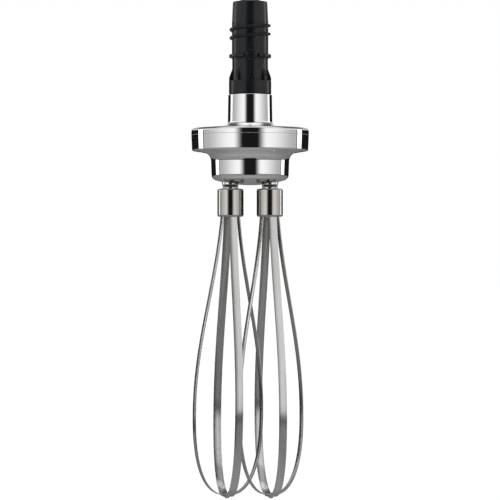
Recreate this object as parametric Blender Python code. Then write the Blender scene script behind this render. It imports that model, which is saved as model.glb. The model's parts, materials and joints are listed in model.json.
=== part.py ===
# Twin whisk attachment for a commercial stick blender, with its gear head.
#
# Metres, +Z up, front towards -Y. The origin is on the centre axis at the top edge of the
# polished neck, where the motor body comes down on its seat. The coupler stands above it, and
# the gear head and the two whisks hang below.

import math

import bmesh
import bpy
from mathutils import Matrix, Vector

# Fits, and how far a shape reaches into the one it joins or a cutter runs past a face
RUNNING_GAP = 0.0001
SEAT_GAP = 0.0003
TURNING_GAP = 0.0003
BACKLASH = 0.0002
ROOT_SINK = 0.0009
CUT_THROUGH = 0.001

# Roundness of turned pieces, in sides
HOUSING_SIDES = 30
COUPLER_SIDES = 24
RING_SIDES = 26
SMALL_SIDES = 18
INNER_SIDES = 16
CLIP_SIDES = 12
SCREW_SIDES = 8
HEX_SIDES = 6

# Gear train: pinion to cluster wheel, cluster pinion to left wheel, left wheel to right wheel
MODULE = 0.001
PRESSURE_ANGLE = math.radians(20.0)
PINION_TEETH = 12
WHEEL_TEETH = 32
ADDENDUM_SHARE = 0.8
DEDENDUM_SHARE = 1.25
UPPER_GEAR_WIDTH = 0.004
LOWER_GEAR_WIDTH = 0.006
GEAR_CLEARANCE = 0.0006
FLANK_STEPS = 2

# Shafts and what holds them
SHAFT_RADIUS = 0.004
SHAFT_END_RADIUS = 0.0025
HEX_LENGTH = 0.009
SPINDLE_RADIUS = 0.0035
CLUSTER_PIN_RADIUS = 0.0025
CLUSTER_PIN_REACH = 0.0095
CLUSTER_PIN_SINK = 0.0013
CROSS_PIN_RADIUS = 0.001
BEARING_WALL = 0.004
UPPER_BEARING_LENGTH = 0.010
LOWER_BEARING_LENGTH = 0.006
SHAFT_SEAL_LENGTH = 0.003
BUSH_WALL = 0.0016
BUSH_LENGTH = 0.009
BUSH_FLANGE = 0.001
BUSH_FLANGE_WIDTH = 0.0018
CLIP_THICKNESS = 0.0007
CLIP_WIDTH = 0.0024
CLIP_GROOVE = 0.0006
CLIP_MOUTH = math.radians(70.0)

# Drive hub on the shaft's upper end
DRIVE_HUB_RADIUS = 0.0102
DRIVE_HUB_NECK_RADIUS = 0.0068
DRIVE_HUB_LENGTH = 0.009
DRIVE_HUB_SHOULDER = 0.003
DRIVE_HUB_RISE = 0.0035
DRIVE_HUB_LAND = 0.002
DRIVE_PIN_RISE = 0.003

# Coupler, measured up from the motor seat
COUPLER_WALL = 0.0034
EDGE_BREAK = 0.0006
HUB_CLEARANCE = 0.0004
COUPLER_TAPER = 0.00077
WAIST_STEP = 0.00022
COLLAR_HEIGHT = 0.0112
FIN_LENGTH = 0.0104
FIN_RUN = 0.0085
FIN_DEPTH = 0.00265
FIN_INSET = 0.00004
FIN_FOOT = 0.0014
FIN_THICKNESS = 0.003
FIN_COUNT = 6
FIN_STEPS = 5
RING_RISE = 0.0097
RING_HEIGHT = 0.0028
RING_DEPTH = 0.0025
RING_CHAMFER = 0.0007
RING_OPENING = math.radians(45.0)
RIB_RISE = 0.0147
RIB_PITCH = 0.0068
RIB_TURNS = 1.5
RIB_RUN_OUT = math.radians(24.0)
RIB_HEIGHT = 0.00205
RIB_WIDTH = 0.0021
RIB_ROUND_STEPS = 3
NOSE_LENGTH = 0.0193
NOSE_TAPER_LENGTH = 0.017
KEY_ANGLE = math.radians(-86.0)
KEY_WIDTH = 0.004
KEY_HEIGHT = 0.0011
KEY_FLARE = 0.0025
KEY_RISE = 0.0107
KNOB_WIDTH = 0.0077
KNOB_LENGTH = 0.0094
KNOB_HEIGHT = 0.0021
KNOB_SHOULDER = 0.0013
KNOB_CROWN = 0.72
SPIGOT_LENGTH = 0.012

# Top cover: neck and disc in one casting
NECK_STEP = 0.00055
NECK_TAPER = 0.0004
NECK_WALL = 0.0033
NECK_HEIGHT = 0.0256
NECK_FILLET = 0.0036
WEB_THICKNESS = 0.0035
COVER_THICKNESS = 0.004
COVER_SLOPE_DROP = 0.0011
COVER_CORNER = 0.0024
COVER_RIM_DEPTH = 0.0055
COVER_LIP_WALL = 0.0038
COVER_LIP_OVERLAP = 0.0011

# Lower housing: rim, cup and dome in one casting
RIM_WALL = 0.0043
RIM_DRAFT = 0.0005
RIM_CORNER = 0.0011
FLOOR_THICKNESS = 0.0038
UNDERSIDE_RISE = 0.0013
UNDERSIDE_FILLET = 0.0069
SPINDLE_BOSS_WALL = 0.0027
CUP_MARGIN = 0.0041
CUP_WALL = 0.0029
CUP_DRAFT = 0.0006
CUP_SIDE = 0.0113
CUP_CORNER = 0.0045
DOME_ANGLE = math.radians(16.0)
NOZZLE_WALL = 0.0014
NOZZLE_SHORTFALL = 0.0003
BOSS_ROOT = 0.001
COLUMN_WALL = 0.0045

# Joint between cover and housing
GASKET_THICKNESS = 0.0008
GASKET_INSET = 0.0012
COVER_SCREW_COUNT = 3
COVER_SCREW_RADIUS = 0.00125
COVER_SCREW_HEAD = 0.0024
COVER_SCREW_LAND = 0.0005
COVER_SCREW_SOCKET = 0.001
COVER_SCREW_BITE = 0.005
COVER_SCREW_SUNK = 0.0006

# Whisks
SEAL_THICKNESS = 0.0012
SEAL_WALL = 0.003
SEAL_WAIST = 0.0003
HUB_NECK_WALL = 0.0026
HUB_NECK_LENGTH = 0.0014
HUB_CORE_WALL = 0.0024
HUB_FLANGE = 0.002
HUB_RECESS = 0.0025
SPINDLE_DEPTH = 0.0185
CROSS_PIN_DROP = 0.0135
FERRULE_LENGTH = 0.0228
FERRULE_WALL = 0.00215
FERRULE_TOP_WALL = 0.0021
FERRULE_CORNER = 0.0014
FERRULE_MOUTH = 0.00045
STRIP_WIDTH = 0.0067
STRIP_THICKNESS = 0.001
CAGE_RADIUS = 0.0276
CAGE_UPPER_LENGTH = 0.1637
CAGE_LOWER_LENGTH = 0.0635
CAGE_ROUNDNESS = 2.45
CAGE_LEAN = 0.0088
RIVET_RADIUS = 0.0012
RIVET_HEAD_RADIUS = 0.0022
RIVET_HEAD_HEIGHT = 0.0012
RIVET_CAP_HEIGHT = 0.0006
RIVET_STEPS = 3
LEFT_PHASE = math.radians(18.0)
RIGHT_PHASE = math.radians(23.0)
UPPER_STEPS = 8
LOWER_STEPS = 9

# Gear centres. The cluster sits where both of its centre distances are met, towards the back.
PINION_PITCH = MODULE * PINION_TEETH / 2
WHEEL_PITCH = MODULE * WHEEL_TEETH / 2
WHEEL_TIP = WHEEL_PITCH + MODULE * ADDENDUM_SHARE
CLUSTER_REACH = PINION_PITCH + WHEEL_PITCH
SPINDLE_OFFSET = WHEEL_PITCH
CLUSTER_X = -SPINDLE_OFFSET / 2
CLUSTER_Y = math.sqrt(CLUSTER_REACH ** 2 - CLUSTER_X ** 2)

# Radii of the coupler and the cover, from the drive hub outwards
COUPLER_TOP_RADIUS = DRIVE_HUB_RADIUS + HUB_CLEARANCE + COUPLER_WALL
COUPLER_RADIUS = COUPLER_TOP_RADIUS + COUPLER_TAPER
WAIST_RADIUS = COUPLER_RADIUS - WAIST_STEP
COLLAR_RADIUS = WAIST_RADIUS + FIN_DEPTH
NECK_RADIUS = COLLAR_RADIUS + NECK_STEP
NECK_BASE_RADIUS = NECK_RADIUS + NECK_TAPER
NECK_BORE = NECK_RADIUS - NECK_WALL
BEARING_RADIUS = SHAFT_RADIUS + RUNNING_GAP + BEARING_WALL
BEARING_SEAT = BEARING_RADIUS + SEAT_GAP
SHAFT_CLEAR_RADIUS = SHAFT_RADIUS + 2 * HUB_CLEARANCE

# Radii of the gear head, from the gears outwards
LIP_BORE = CLUSTER_REACH + WHEEL_TIP + GEAR_CLEARANCE
LIP_RADIUS = LIP_BORE + COVER_LIP_WALL
RIM_RADIUS = LIP_RADIUS + SEAT_GAP + RIM_WALL
RIM_LOW_RADIUS = RIM_RADIUS - RIM_DRAFT
POCKET_RADIUS = SPINDLE_OFFSET + WHEEL_TIP + GEAR_CLEARANCE
BUSH_RADIUS = SPINDLE_RADIUS + RUNNING_GAP + BUSH_WALL
BUSH_SEAT = BUSH_RADIUS + SEAT_GAP
SPINDLE_BOSS_RADIUS = BUSH_SEAT + SPINDLE_BOSS_WALL
NOZZLE_RADIUS = BUSH_SEAT + NOZZLE_WALL
CUP_BORE = SPINDLE_OFFSET + SPINDLE_BOSS_RADIUS + CUP_MARGIN
CUP_LOW_RADIUS = CUP_BORE + CUP_WALL
CUP_RADIUS = CUP_LOW_RADIUS + CUP_DRAFT
FILLET_CENTRE = CUP_RADIUS + UNDERSIDE_FILLET
COVER_SCREW_CIRCLE = (LIP_BORE + LIP_RADIUS) / 2

# Heights of the coupler, upwards
FIN_TOP = COLLAR_HEIGHT + FIN_LENGTH
SNAP_RING_HEIGHT = FIN_TOP + RING_RISE
RIB_START = SNAP_RING_HEIGHT + RIB_RISE
RIB_END = RIB_START + RIB_PITCH * RIB_TURNS
COUPLER_TOP = RIB_END + NOSE_LENGTH
DRIVE_HUB_LOW = COUPLER_TOP + DRIVE_HUB_RISE - DRIVE_HUB_LENGTH
UPPER_BEARING_TOP = DRIVE_HUB_LOW - DRIVE_HUB_SHOULDER
UPPER_BEARING_LOW = UPPER_BEARING_TOP - UPPER_BEARING_LENGTH
HEX_LOW = COUPLER_TOP + DRIVE_HUB_RISE

# Heights of the gear head, downwards
DISC_TOP = -NECK_HEIGHT
DISC_EDGE = DISC_TOP - COVER_SLOPE_DROP
COVER_UNDERSIDE = DISC_TOP - COVER_THICKNESS
UPPER_GEAR_TOP = COVER_UNDERSIDE - GEAR_CLEARANCE
UPPER_GEAR_LOW = UPPER_GEAR_TOP - UPPER_GEAR_WIDTH
GEAR_CLIP_TOP = UPPER_GEAR_LOW - GEAR_CLEARANCE
GEAR_CLIP_LOW = GEAR_CLIP_TOP - CLIP_THICKNESS
LOWER_GEAR_TOP = GEAR_CLIP_LOW - SEAT_GAP
LOWER_GEAR_LOW = LOWER_GEAR_TOP - LOWER_GEAR_WIDTH
BUSH_TOP = LOWER_GEAR_LOW - SEAT_GAP
BOSS_TOP = BUSH_TOP - BUSH_FLANGE - SEAT_GAP
SEAM = DISC_EDGE - COVER_RIM_DEPTH
LIP_LOW = UPPER_GEAR_LOW - COVER_LIP_OVERLAP
FILLET_TOP = BOSS_TOP - FLOOR_THICKNESS
FILLET_LOW = FILLET_TOP - UNDERSIDE_FILLET
RIM_LOW = FILLET_TOP + UNDERSIDE_RISE
CUP_CORNER_TOP = FILLET_LOW - CUP_SIDE
DOME_EDGE = CUP_CORNER_TOP - CUP_CORNER * math.cos(DOME_ANGLE)
DOME_EDGE_RADIUS = CUP_LOW_RADIUS - CUP_CORNER * (1 - math.sin(DOME_ANGLE))
DOME_RADIUS = DOME_EDGE_RADIUS / math.sin(DOME_ANGLE)
DOME_LOW = DOME_EDGE - DOME_RADIUS * (1 - math.cos(DOME_ANGLE))
CUP_FLOOR = DOME_EDGE + CUP_WALL
NOZZLE_LOW = DOME_LOW + NOZZLE_SHORTFALL

# Heights in the cover's bearing seat, upwards from the underside
BEARING_GROOVE_LOW = COVER_UNDERSIDE + CLIP_THICKNESS
BEARING_CLIP_LOW = BEARING_GROOVE_LOW + SEAT_GAP / 2
LOWER_BEARING_LOW = BEARING_CLIP_LOW + CLIP_THICKNESS + SEAT_GAP
SHAFT_SEAL_LOW = LOWER_BEARING_LOW + LOWER_BEARING_LENGTH + SEAT_GAP
BEARING_SEAT_TOP = SHAFT_SEAL_LOW + SHAFT_SEAL_LENGTH + SEAT_GAP
CLUSTER_PIN_TOP = COVER_UNDERSIDE + CLUSTER_PIN_SINK - SEAT_GAP

# Heights of the whisks, downwards
SEAL_TOP = NOZZLE_LOW - TURNING_GAP
HUB_TOP = SEAL_TOP - SEAL_THICKNESS - SEAT_GAP
FERRULE_TOP = HUB_TOP - HUB_NECK_LENGTH
FERRULE_LOW = FERRULE_TOP - FERRULE_LENGTH
FERRULE_CEILING = FERRULE_TOP - FERRULE_TOP_WALL
HUB_FLANGE_TOP = FERRULE_CEILING - SEAT_GAP
STRIP_TOP = HUB_FLANGE_TOP - HUB_FLANGE - SEAT_GAP
HUB_LOW = FERRULE_LOW + HUB_RECESS
SPINDLE_LOW = HUB_TOP - SPINDLE_DEPTH
CROSS_PIN_HEIGHT = HUB_TOP - CROSS_PIN_DROP
SPINDLE_TOP = GEAR_CLIP_TOP + CLIP_THICKNESS
CAGE_WAIST = FERRULE_LOW - CAGE_UPPER_LENGTH
HUB_BORE = SPINDLE_RADIUS + SEAT_GAP
HUB_CORE_RADIUS = HUB_BORE + HUB_CORE_WALL
HUB_NECK_RADIUS = HUB_BORE + HUB_NECK_WALL
STRIP_SEAT = HUB_CORE_RADIUS + SEAT_GAP + STRIP_THICKNESS / 2
STRIP_CORNER = math.hypot(STRIP_SEAT + STRIP_THICKNESS / 2, STRIP_WIDTH / 2)
CROSSING_FLAT = STRIP_WIDTH / 2 + SEAT_GAP
FERRULE_BORE = STRIP_CORNER + SEAT_GAP
FERRULE_RADIUS = FERRULE_BORE + FERRULE_WALL


def clear_scene():
    for thing in list(bpy.data.objects):
        bpy.data.objects.remove(thing, do_unlink=True)


def finish(name, colour, roughness, metallic):
    material = bpy.data.materials.new(name)
    material.use_nodes = True
    shader = material.node_tree.nodes["Principled BSDF"]
    shader.inputs["Base Color"].default_value = (*colour, 1.0)
    shader.inputs["Roughness"].default_value = roughness
    shader.inputs["Metallic"].default_value = metallic
    return material


def carrier(name, place):
    """An empty on a joint's axis, which carries the pieces of one moving body."""
    empty = bpy.data.objects.new(name, None)
    empty.location = place
    bpy.context.scene.collection.objects.link(empty)
    return empty


def add_piece(name, bm, material, parent):
    mesh = bpy.data.meshes.new(name)
    bmesh.ops.recalc_face_normals(bm, faces=bm.faces)
    bm.to_mesh(mesh)
    bm.free()
    mesh.shade_smooth()
    mesh.set_sharp_from_angle(angle=math.radians(35.0))
    piece = bpy.data.objects.new(name, mesh)
    if material is not None:
        mesh.materials.append(material)
    piece.parent = parent
    bpy.context.scene.collection.objects.link(piece)
    return piece


def combine(target, helper, operation):
    """Join a helper solid to a piece, or cut it out of the piece."""
    helper.parent = target.parent
    helper.hide_render = True
    helper.display_type = "WIRE"
    modifier = target.modifiers.new(helper.name, "BOOLEAN")
    modifier.operation = operation
    modifier.solver = "EXACT"
    modifier.object = helper
    return target


def join(target, bm):
    return combine(target, add_piece(f"{target.name}_add", bm, None, None), "UNION")


def cut(target, bm):
    return combine(target, add_piece(f"{target.name}_cut", bm, None, None), "DIFFERENCE")


def together(solids):
    """Put separate solids that don't touch into one mesh, to join or cut them in one go."""
    bm = bmesh.new()
    for solid in solids:
        mesh = bpy.data.meshes.new("solid")
        solid.to_mesh(mesh)
        solid.free()
        bm.from_mesh(mesh)
        bpy.data.meshes.remove(mesh)
    return bm


def arc(centre, radius, start, end, steps):
    """Points of an arc in a (radius, height) plane, both ends included."""
    turn = (end - start) / steps
    return [(centre[0] + radius * math.cos(start + turn * step),
             centre[1] + radius * math.sin(start + turn * step)) for step in range(steps + 1)]


def revolve(outline, sides, place=(0.0, 0.0), start=0.0, turn=2 * math.pi):
    """Turn a (radius, height) outline about the vertical axis through a place."""
    bm = bmesh.new()
    whole = turn > 2 * math.pi - 0.001
    verts = [bm.verts.new((radius, 0.0, height)) for radius, height in outline]
    pairs = list(zip(verts, verts[1:]))
    touches_axis = outline[0][0] == 0.0 and outline[-1][0] == 0.0
    if not touches_axis:
        pairs.append((verts[-1], verts[0]))
    edges = [bm.edges.new(pair) for pair in pairs]
    geometry = verts + edges
    if not whole:
        geometry.append(bm.faces.new(verts))
    bmesh.ops.spin(bm, geom=geometry, cent=(0, 0, 0), axis=(0, 0, 1), dvec=(0, 0, 0),
                   angle=turn, steps=sides, use_merge=whole)
    bmesh.ops.remove_doubles(bm, verts=bm.verts, dist=1e-7)
    bmesh.ops.rotate(bm, verts=bm.verts, cent=(0, 0, 0), matrix=Matrix.Rotation(start, 3, "Z"))
    bmesh.ops.translate(bm, verts=bm.verts, vec=(place[0], place[1], 0.0))
    return bm


def cylinder(radius, low, high, sides=INNER_SIDES, place=(0.0, 0.0)):
    outline = [(0.0, low), (radius, low), (radius, high), (0.0, high)]
    return revolve(outline, sides, place)


def ring(inner, outer, low, high, sides=INNER_SIDES):
    return revolve([(inner, low), (outer, low), (outer, high), (inner, high)], sides)


def cross_rod(radius, half_length, height, heading, sides=SCREW_SIDES):
    """A level rod through the vertical axis, along a heading."""
    bm = cylinder(radius, -half_length, half_length, sides)
    bmesh.ops.rotate(bm, verts=bm.verts, cent=(0, 0, 0), matrix=Matrix.Rotation(math.pi / 2, 3, "Y"))
    bmesh.ops.rotate(bm, verts=bm.verts, cent=(0, 0, 0), matrix=Matrix.Rotation(heading, 3, "Z"))
    bmesh.ops.translate(bm, verts=bm.verts, vec=(0, 0, height))
    return bm


def extrude_outline(points, direction):
    """Extrude a flat closed outline of 3D points along a direction."""
    bm = bmesh.new()
    face = bm.faces.new([bm.verts.new(point) for point in points])
    extruded = bmesh.ops.extrude_face_region(bm, geom=[face])
    moved = [item for item in extruded["geom"] if isinstance(item, bmesh.types.BMVert)]
    bmesh.ops.translate(bm, verts=moved, vec=direction)
    return bm


def involute(angle):
    return math.tan(angle) - angle


def tooth_outline(teeth, phase):
    """Outline of an involute gear. One tooth is centred on the phase angle."""
    pitch_radius = MODULE * teeth / 2
    base_radius = pitch_radius * math.cos(PRESSURE_ANGLE)
    tip_radius = pitch_radius + MODULE * ADDENDUM_SHARE
    root_radius = pitch_radius - MODULE * DEDENDUM_SHARE
    half_pitch_angle = math.pi / (2 * teeth) - BACKLASH / 4 / pitch_radius
    start_radius = max(base_radius, root_radius)
    flank = []
    for step in range(FLANK_STEPS + 1):
        radius = start_radius + (tip_radius - start_radius) * step / FLANK_STEPS
        slope = math.acos(min(1.0, base_radius / radius))
        flank.append((radius, half_pitch_angle + involute(PRESSURE_ANGLE) - involute(slope)))
    root = (root_radius, flank[0][1])
    shallow = start_radius - root_radius < MODULE / 2
    flank = [root] + flank[1:] if shallow else [root] + flank
    points = []
    for tooth in range(teeth):
        centre = phase + 2 * math.pi * tooth / teeth
        rising = [(radius, centre - half) for radius, half in flank]
        falling = [(radius, centre + half) for radius, half in reversed(flank)]
        points += [(radius * math.cos(angle), radius * math.sin(angle))
                   for radius, angle in rising + falling]
    return points


def meshing_phase(own_teeth, own_centre, other_teeth, other_centre, other_phase):
    """Phase that sets a gap of this gear on the other gear's tooth, on the line of centres."""
    heading = math.atan2(own_centre[1] - other_centre[1], own_centre[0] - other_centre[0])
    other_pitch = MODULE * other_teeth / 2
    own_pitch = MODULE * own_teeth / 2
    half_step = math.pi * MODULE / 2
    return heading + math.pi + (half_step - other_pitch * (other_phase - heading)) / own_pitch


def gear(name, teeth, phase, low, high, bore, material, parent):
    outline = [(x, y, low) for x, y in tooth_outline(teeth, phase)]
    wheel = add_piece(name, extrude_outline(outline, (0, 0, high - low)), material, parent)
    return cut(wheel, cylinder(bore, low - CUT_THROUGH, high + CUT_THROUGH))


def retaining_clip(name, groove_radius, middle, heading, material, parent, inward=False):
    """A flat open ring that snaps round a shaft, or into a bore."""
    inner = groove_radius
    outer = groove_radius + CLIP_WIDTH
    if inward:
        inner = groove_radius - CLIP_WIDTH
        outer = groove_radius
    low = middle - CLIP_THICKNESS / 2
    high = middle + CLIP_THICKNESS / 2
    outline = [(inner, low), (outer, low), (outer, high), (inner, high)]
    bm = revolve(outline, CLIP_SIDES, start=heading + CLIP_MOUTH / 2, turn=2 * math.pi - CLIP_MOUTH)
    return add_piece(name, bm, material, parent)


def make_coupler(material, parent):
    nose_start = COUPLER_TOP - NOSE_TAPER_LENGTH
    waist_top = SNAP_RING_HEIGHT - RING_HEIGHT / 2
    bearing_floor = UPPER_BEARING_LOW - SEAT_GAP
    hub_floor = DRIVE_HUB_LOW - SEAT_GAP
    hub_bore = DRIVE_HUB_RADIUS + HUB_CLEARANCE
    outline = [
        (hub_bore, COUPLER_TOP), (COUPLER_TOP_RADIUS - EDGE_BREAK, COUPLER_TOP),
        (COUPLER_TOP_RADIUS, COUPLER_TOP - EDGE_BREAK), (COUPLER_RADIUS, nose_start),
        (COUPLER_RADIUS, waist_top), (WAIST_RADIUS, waist_top - RING_HEIGHT / 2),
        (WAIST_RADIUS, COLLAR_HEIGHT), (COLLAR_RADIUS - EDGE_BREAK, COLLAR_HEIGHT),
        (COLLAR_RADIUS, COLLAR_HEIGHT - EDGE_BREAK), (COLLAR_RADIUS, SEAT_GAP),
        (NECK_BORE - SEAT_GAP, SEAT_GAP), (NECK_BORE - SEAT_GAP, -SPIGOT_LENGTH),
        (SHAFT_CLEAR_RADIUS, -SPIGOT_LENGTH), (SHAFT_CLEAR_RADIUS, bearing_floor),
        (BEARING_SEAT, bearing_floor), (BEARING_SEAT, hub_floor), (hub_bore, hub_floor),
    ]
    coupler = add_piece("coupler", revolve(outline, COUPLER_SIDES), material, parent)
    join(coupler, helical_rib())
    join(coupler, snap_ring())
    for number in range(FIN_COUNT):
        join(coupler, fin(KEY_ANGLE + 2 * math.pi * (number + 0.5) / FIN_COUNT))
    join(coupler, key_rib())
    join(coupler, knob())
    return coupler


def helical_rib():
    """The round-topped helical rib, which fades out at both ends."""
    root = COUPLER_RADIUS - ROOT_SINK
    half = RIB_WIDTH / 2
    sweep = 2 * math.pi * RIB_TURNS + 2 * RIB_RUN_OUT
    stations = int(sweep / (2 * math.pi / COUPLER_SIDES)) + 1
    bm = bmesh.new()
    rows = []
    for station in range(stations + 1):
        travelled = sweep * station / stations
        angle = math.pi + travelled - RIB_RUN_OUT
        height = RIB_START + RIB_PITCH * (travelled - RIB_RUN_OUT) / (2 * math.pi)
        fade = min(1.0, travelled / RIB_RUN_OUT, (sweep - travelled) / RIB_RUN_OUT)
        crest = COUPLER_RADIUS + RIB_HEIGHT * math.sin(fade * math.pi / 2)
        round_top = arc((crest - half, 0.0), half, -math.pi / 2, math.pi / 2, RIB_ROUND_STEPS)
        row = []
        for radius, rise in [(root, -half), *round_top, (root, half)]:
            reach = max(root, radius)
            row.append(bm.verts.new((reach * math.cos(angle), reach * math.sin(angle), height + rise)))
        rows.append(row)
    close_rows(bm, rows)
    bmesh.ops.remove_doubles(bm, verts=bm.verts, dist=1e-7)
    return bm


def close_rows(bm, rows):
    """Skin a row of equal closed sections and cap both ends."""
    count = len(rows[0])
    for here, there in zip(rows, rows[1:]):
        for index in range(count):
            following = (index + 1) % count
            bm.faces.new((here[index], here[following], there[following], there[index]))
    bm.faces.new(rows[0])
    bm.faces.new(list(reversed(rows[-1])))


def snap_ring():
    """The ring that snaps into the motor body, open at the front for the key."""
    root = WAIST_RADIUS - ROOT_SINK
    crest = WAIST_RADIUS + RING_DEPTH
    low = SNAP_RING_HEIGHT - RING_HEIGHT / 2
    high = SNAP_RING_HEIGHT + RING_HEIGHT / 2
    outline = [
        (root, low), (crest - RING_CHAMFER, low), (crest, low + RING_CHAMFER),
        (crest, high - RING_CHAMFER), (crest - RING_CHAMFER, high), (root, high),
    ]
    return revolve(outline, RING_SIDES, start=KEY_ANGLE + RING_OPENING / 2,
                   turn=2 * math.pi - RING_OPENING)


def radial_frame(heading):
    outward = Vector((math.cos(heading), math.sin(heading), 0.0))
    sideways = Vector((-math.sin(heading), math.cos(heading), 0.0))
    return outward, sideways


def fin(heading):
    """A gusset between the sleeve and the collar."""
    outward, sideways = radial_frame(heading)
    root = WAIST_RADIUS - ROOT_SINK
    outline = [(root, FIN_TOP)]
    for step in range(FIN_STEPS + 1):
        share = step / FIN_STEPS
        eased = (share + share * share * (3 - 2 * share)) / 2
        outline.append((WAIST_RADIUS + FIN_DEPTH * eased - FIN_INSET, FIN_TOP - FIN_RUN * share))
    foot = COLLAR_HEIGHT - FIN_FOOT
    outline += [(COLLAR_RADIUS - FIN_INSET, foot), (root, foot)]
    start = -sideways * (FIN_THICKNESS / 2)
    points = [outward * radius + start + Vector((0, 0, height)) for radius, height in outline]
    return extrude_outline(points, sideways * FIN_THICKNESS)


def key_rib():
    """The upright key rib, which flares into the collar at its foot."""
    outward, sideways = radial_frame(KEY_ANGLE)
    half = KEY_WIDTH / 2
    top = SNAP_RING_HEIGHT + KEY_RISE
    knee = COLLAR_HEIGHT + FIN_LENGTH / 2
    foot = COLLAR_HEIGHT - FIN_FOOT
    outline = [(-half, top - half / 2), (-half / 2, top), (half / 2, top), (half, top - half / 2),
               (half, knee), (half + KEY_FLARE, foot), (-half - KEY_FLARE, foot), (-half, knee)]
    start = outward * (WAIST_RADIUS - ROOT_SINK)
    points = [start + sideways * across + Vector((0, 0, height)) for across, height in outline]
    return extrude_outline(points, outward * (ROOT_SINK + KEY_HEIGHT))


def knob():
    """The rounded latch knob on the key rib, drawn in towards its crest."""
    outward, sideways = radial_frame(KEY_ANGLE)
    bm = bmesh.new()
    rows = []
    for height, size in ((-ROOT_SINK, 1.0), (KNOB_SHOULDER, 1.0), (KNOB_HEIGHT, KNOB_CROWN)):
        row = []
        for step in range(INNER_SIDES):
            angle = 2 * math.pi * step / INNER_SIDES
            across = KNOB_WIDTH / 2 * size * math.cos(angle)
            rise = KNOB_LENGTH / 2 * size * math.sin(angle)
            point = outward * (WAIST_RADIUS + height) + sideways * across
            row.append(bm.verts.new(point + Vector((0, 0, SNAP_RING_HEIGHT + rise))))
        rows.append(row)
    close_rows(bm, rows)
    return bm


def make_top_cover(material, parent):
    groove_high = BEARING_GROOVE_LOW + CLIP_THICKNESS + SEAT_GAP
    groove_radius = BEARING_SEAT + CLIP_GROOVE
    web_top = BEARING_SEAT_TOP + WEB_THICKNESS
    fillet_centre = (NECK_BASE_RADIUS + NECK_FILLET, DISC_TOP + NECK_FILLET)
    corner_centre = (RIM_RADIUS - COVER_CORNER, DISC_EDGE - COVER_CORNER)
    outline = [(NECK_BORE, 0.0), (NECK_RADIUS - EDGE_BREAK, 0.0), (NECK_RADIUS, -EDGE_BREAK)]
    outline += arc(fillet_centre, NECK_FILLET, math.pi, 1.5 * math.pi, 4)
    outline += arc(corner_centre, COVER_CORNER, math.pi / 2, 0.0, 3)
    outline += [
        (RIM_RADIUS, SEAM), (LIP_RADIUS, SEAM), (LIP_RADIUS, LIP_LOW), (LIP_BORE, LIP_LOW),
        (LIP_BORE, COVER_UNDERSIDE), (BEARING_SEAT, COVER_UNDERSIDE),
        (BEARING_SEAT, BEARING_GROOVE_LOW), (groove_radius, BEARING_GROOVE_LOW),
        (groove_radius, groove_high), (BEARING_SEAT, groove_high),
        (BEARING_SEAT, BEARING_SEAT_TOP), (SHAFT_CLEAR_RADIUS, BEARING_SEAT_TOP),
        (SHAFT_CLEAR_RADIUS, web_top), (NECK_BORE, web_top),
    ]
    cover = add_piece("top_cover", revolve(outline, HOUSING_SIDES), material, parent)
    pin_socket = CLUSTER_PIN_RADIUS + SEAT_GAP
    pin_ceiling = CLUSTER_PIN_TOP + SEAT_GAP
    holes = [cylinder(pin_socket, LIP_LOW, pin_ceiling, SCREW_SIDES, (CLUSTER_X, CLUSTER_Y))]
    thread = COVER_SCREW_RADIUS + SEAT_GAP
    depth = LIP_LOW + COVER_SCREW_BITE + SEAT_GAP
    for number in range(COVER_SCREW_COUNT):
        holes.append(cylinder(thread, LIP_LOW - CUT_THROUGH, depth, SCREW_SIDES, screw_place(number)))
    return cut(cover, together(holes))


def screw_place(number):
    heading = 2 * math.pi * (number + 0.5) / COVER_SCREW_COUNT
    return (COVER_SCREW_CIRCLE * math.cos(heading), COVER_SCREW_CIRCLE * math.sin(heading))


def screw_head_height():
    """Height of the screws' seats, above the sloping underside by the head's sinking."""
    slope = UNDERSIDE_RISE / (RIM_LOW_RADIUS - FILLET_CENTRE)
    return FILLET_TOP + slope * (COVER_SCREW_CIRCLE - FILLET_CENTRE) + COVER_SCREW_SUNK


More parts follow.
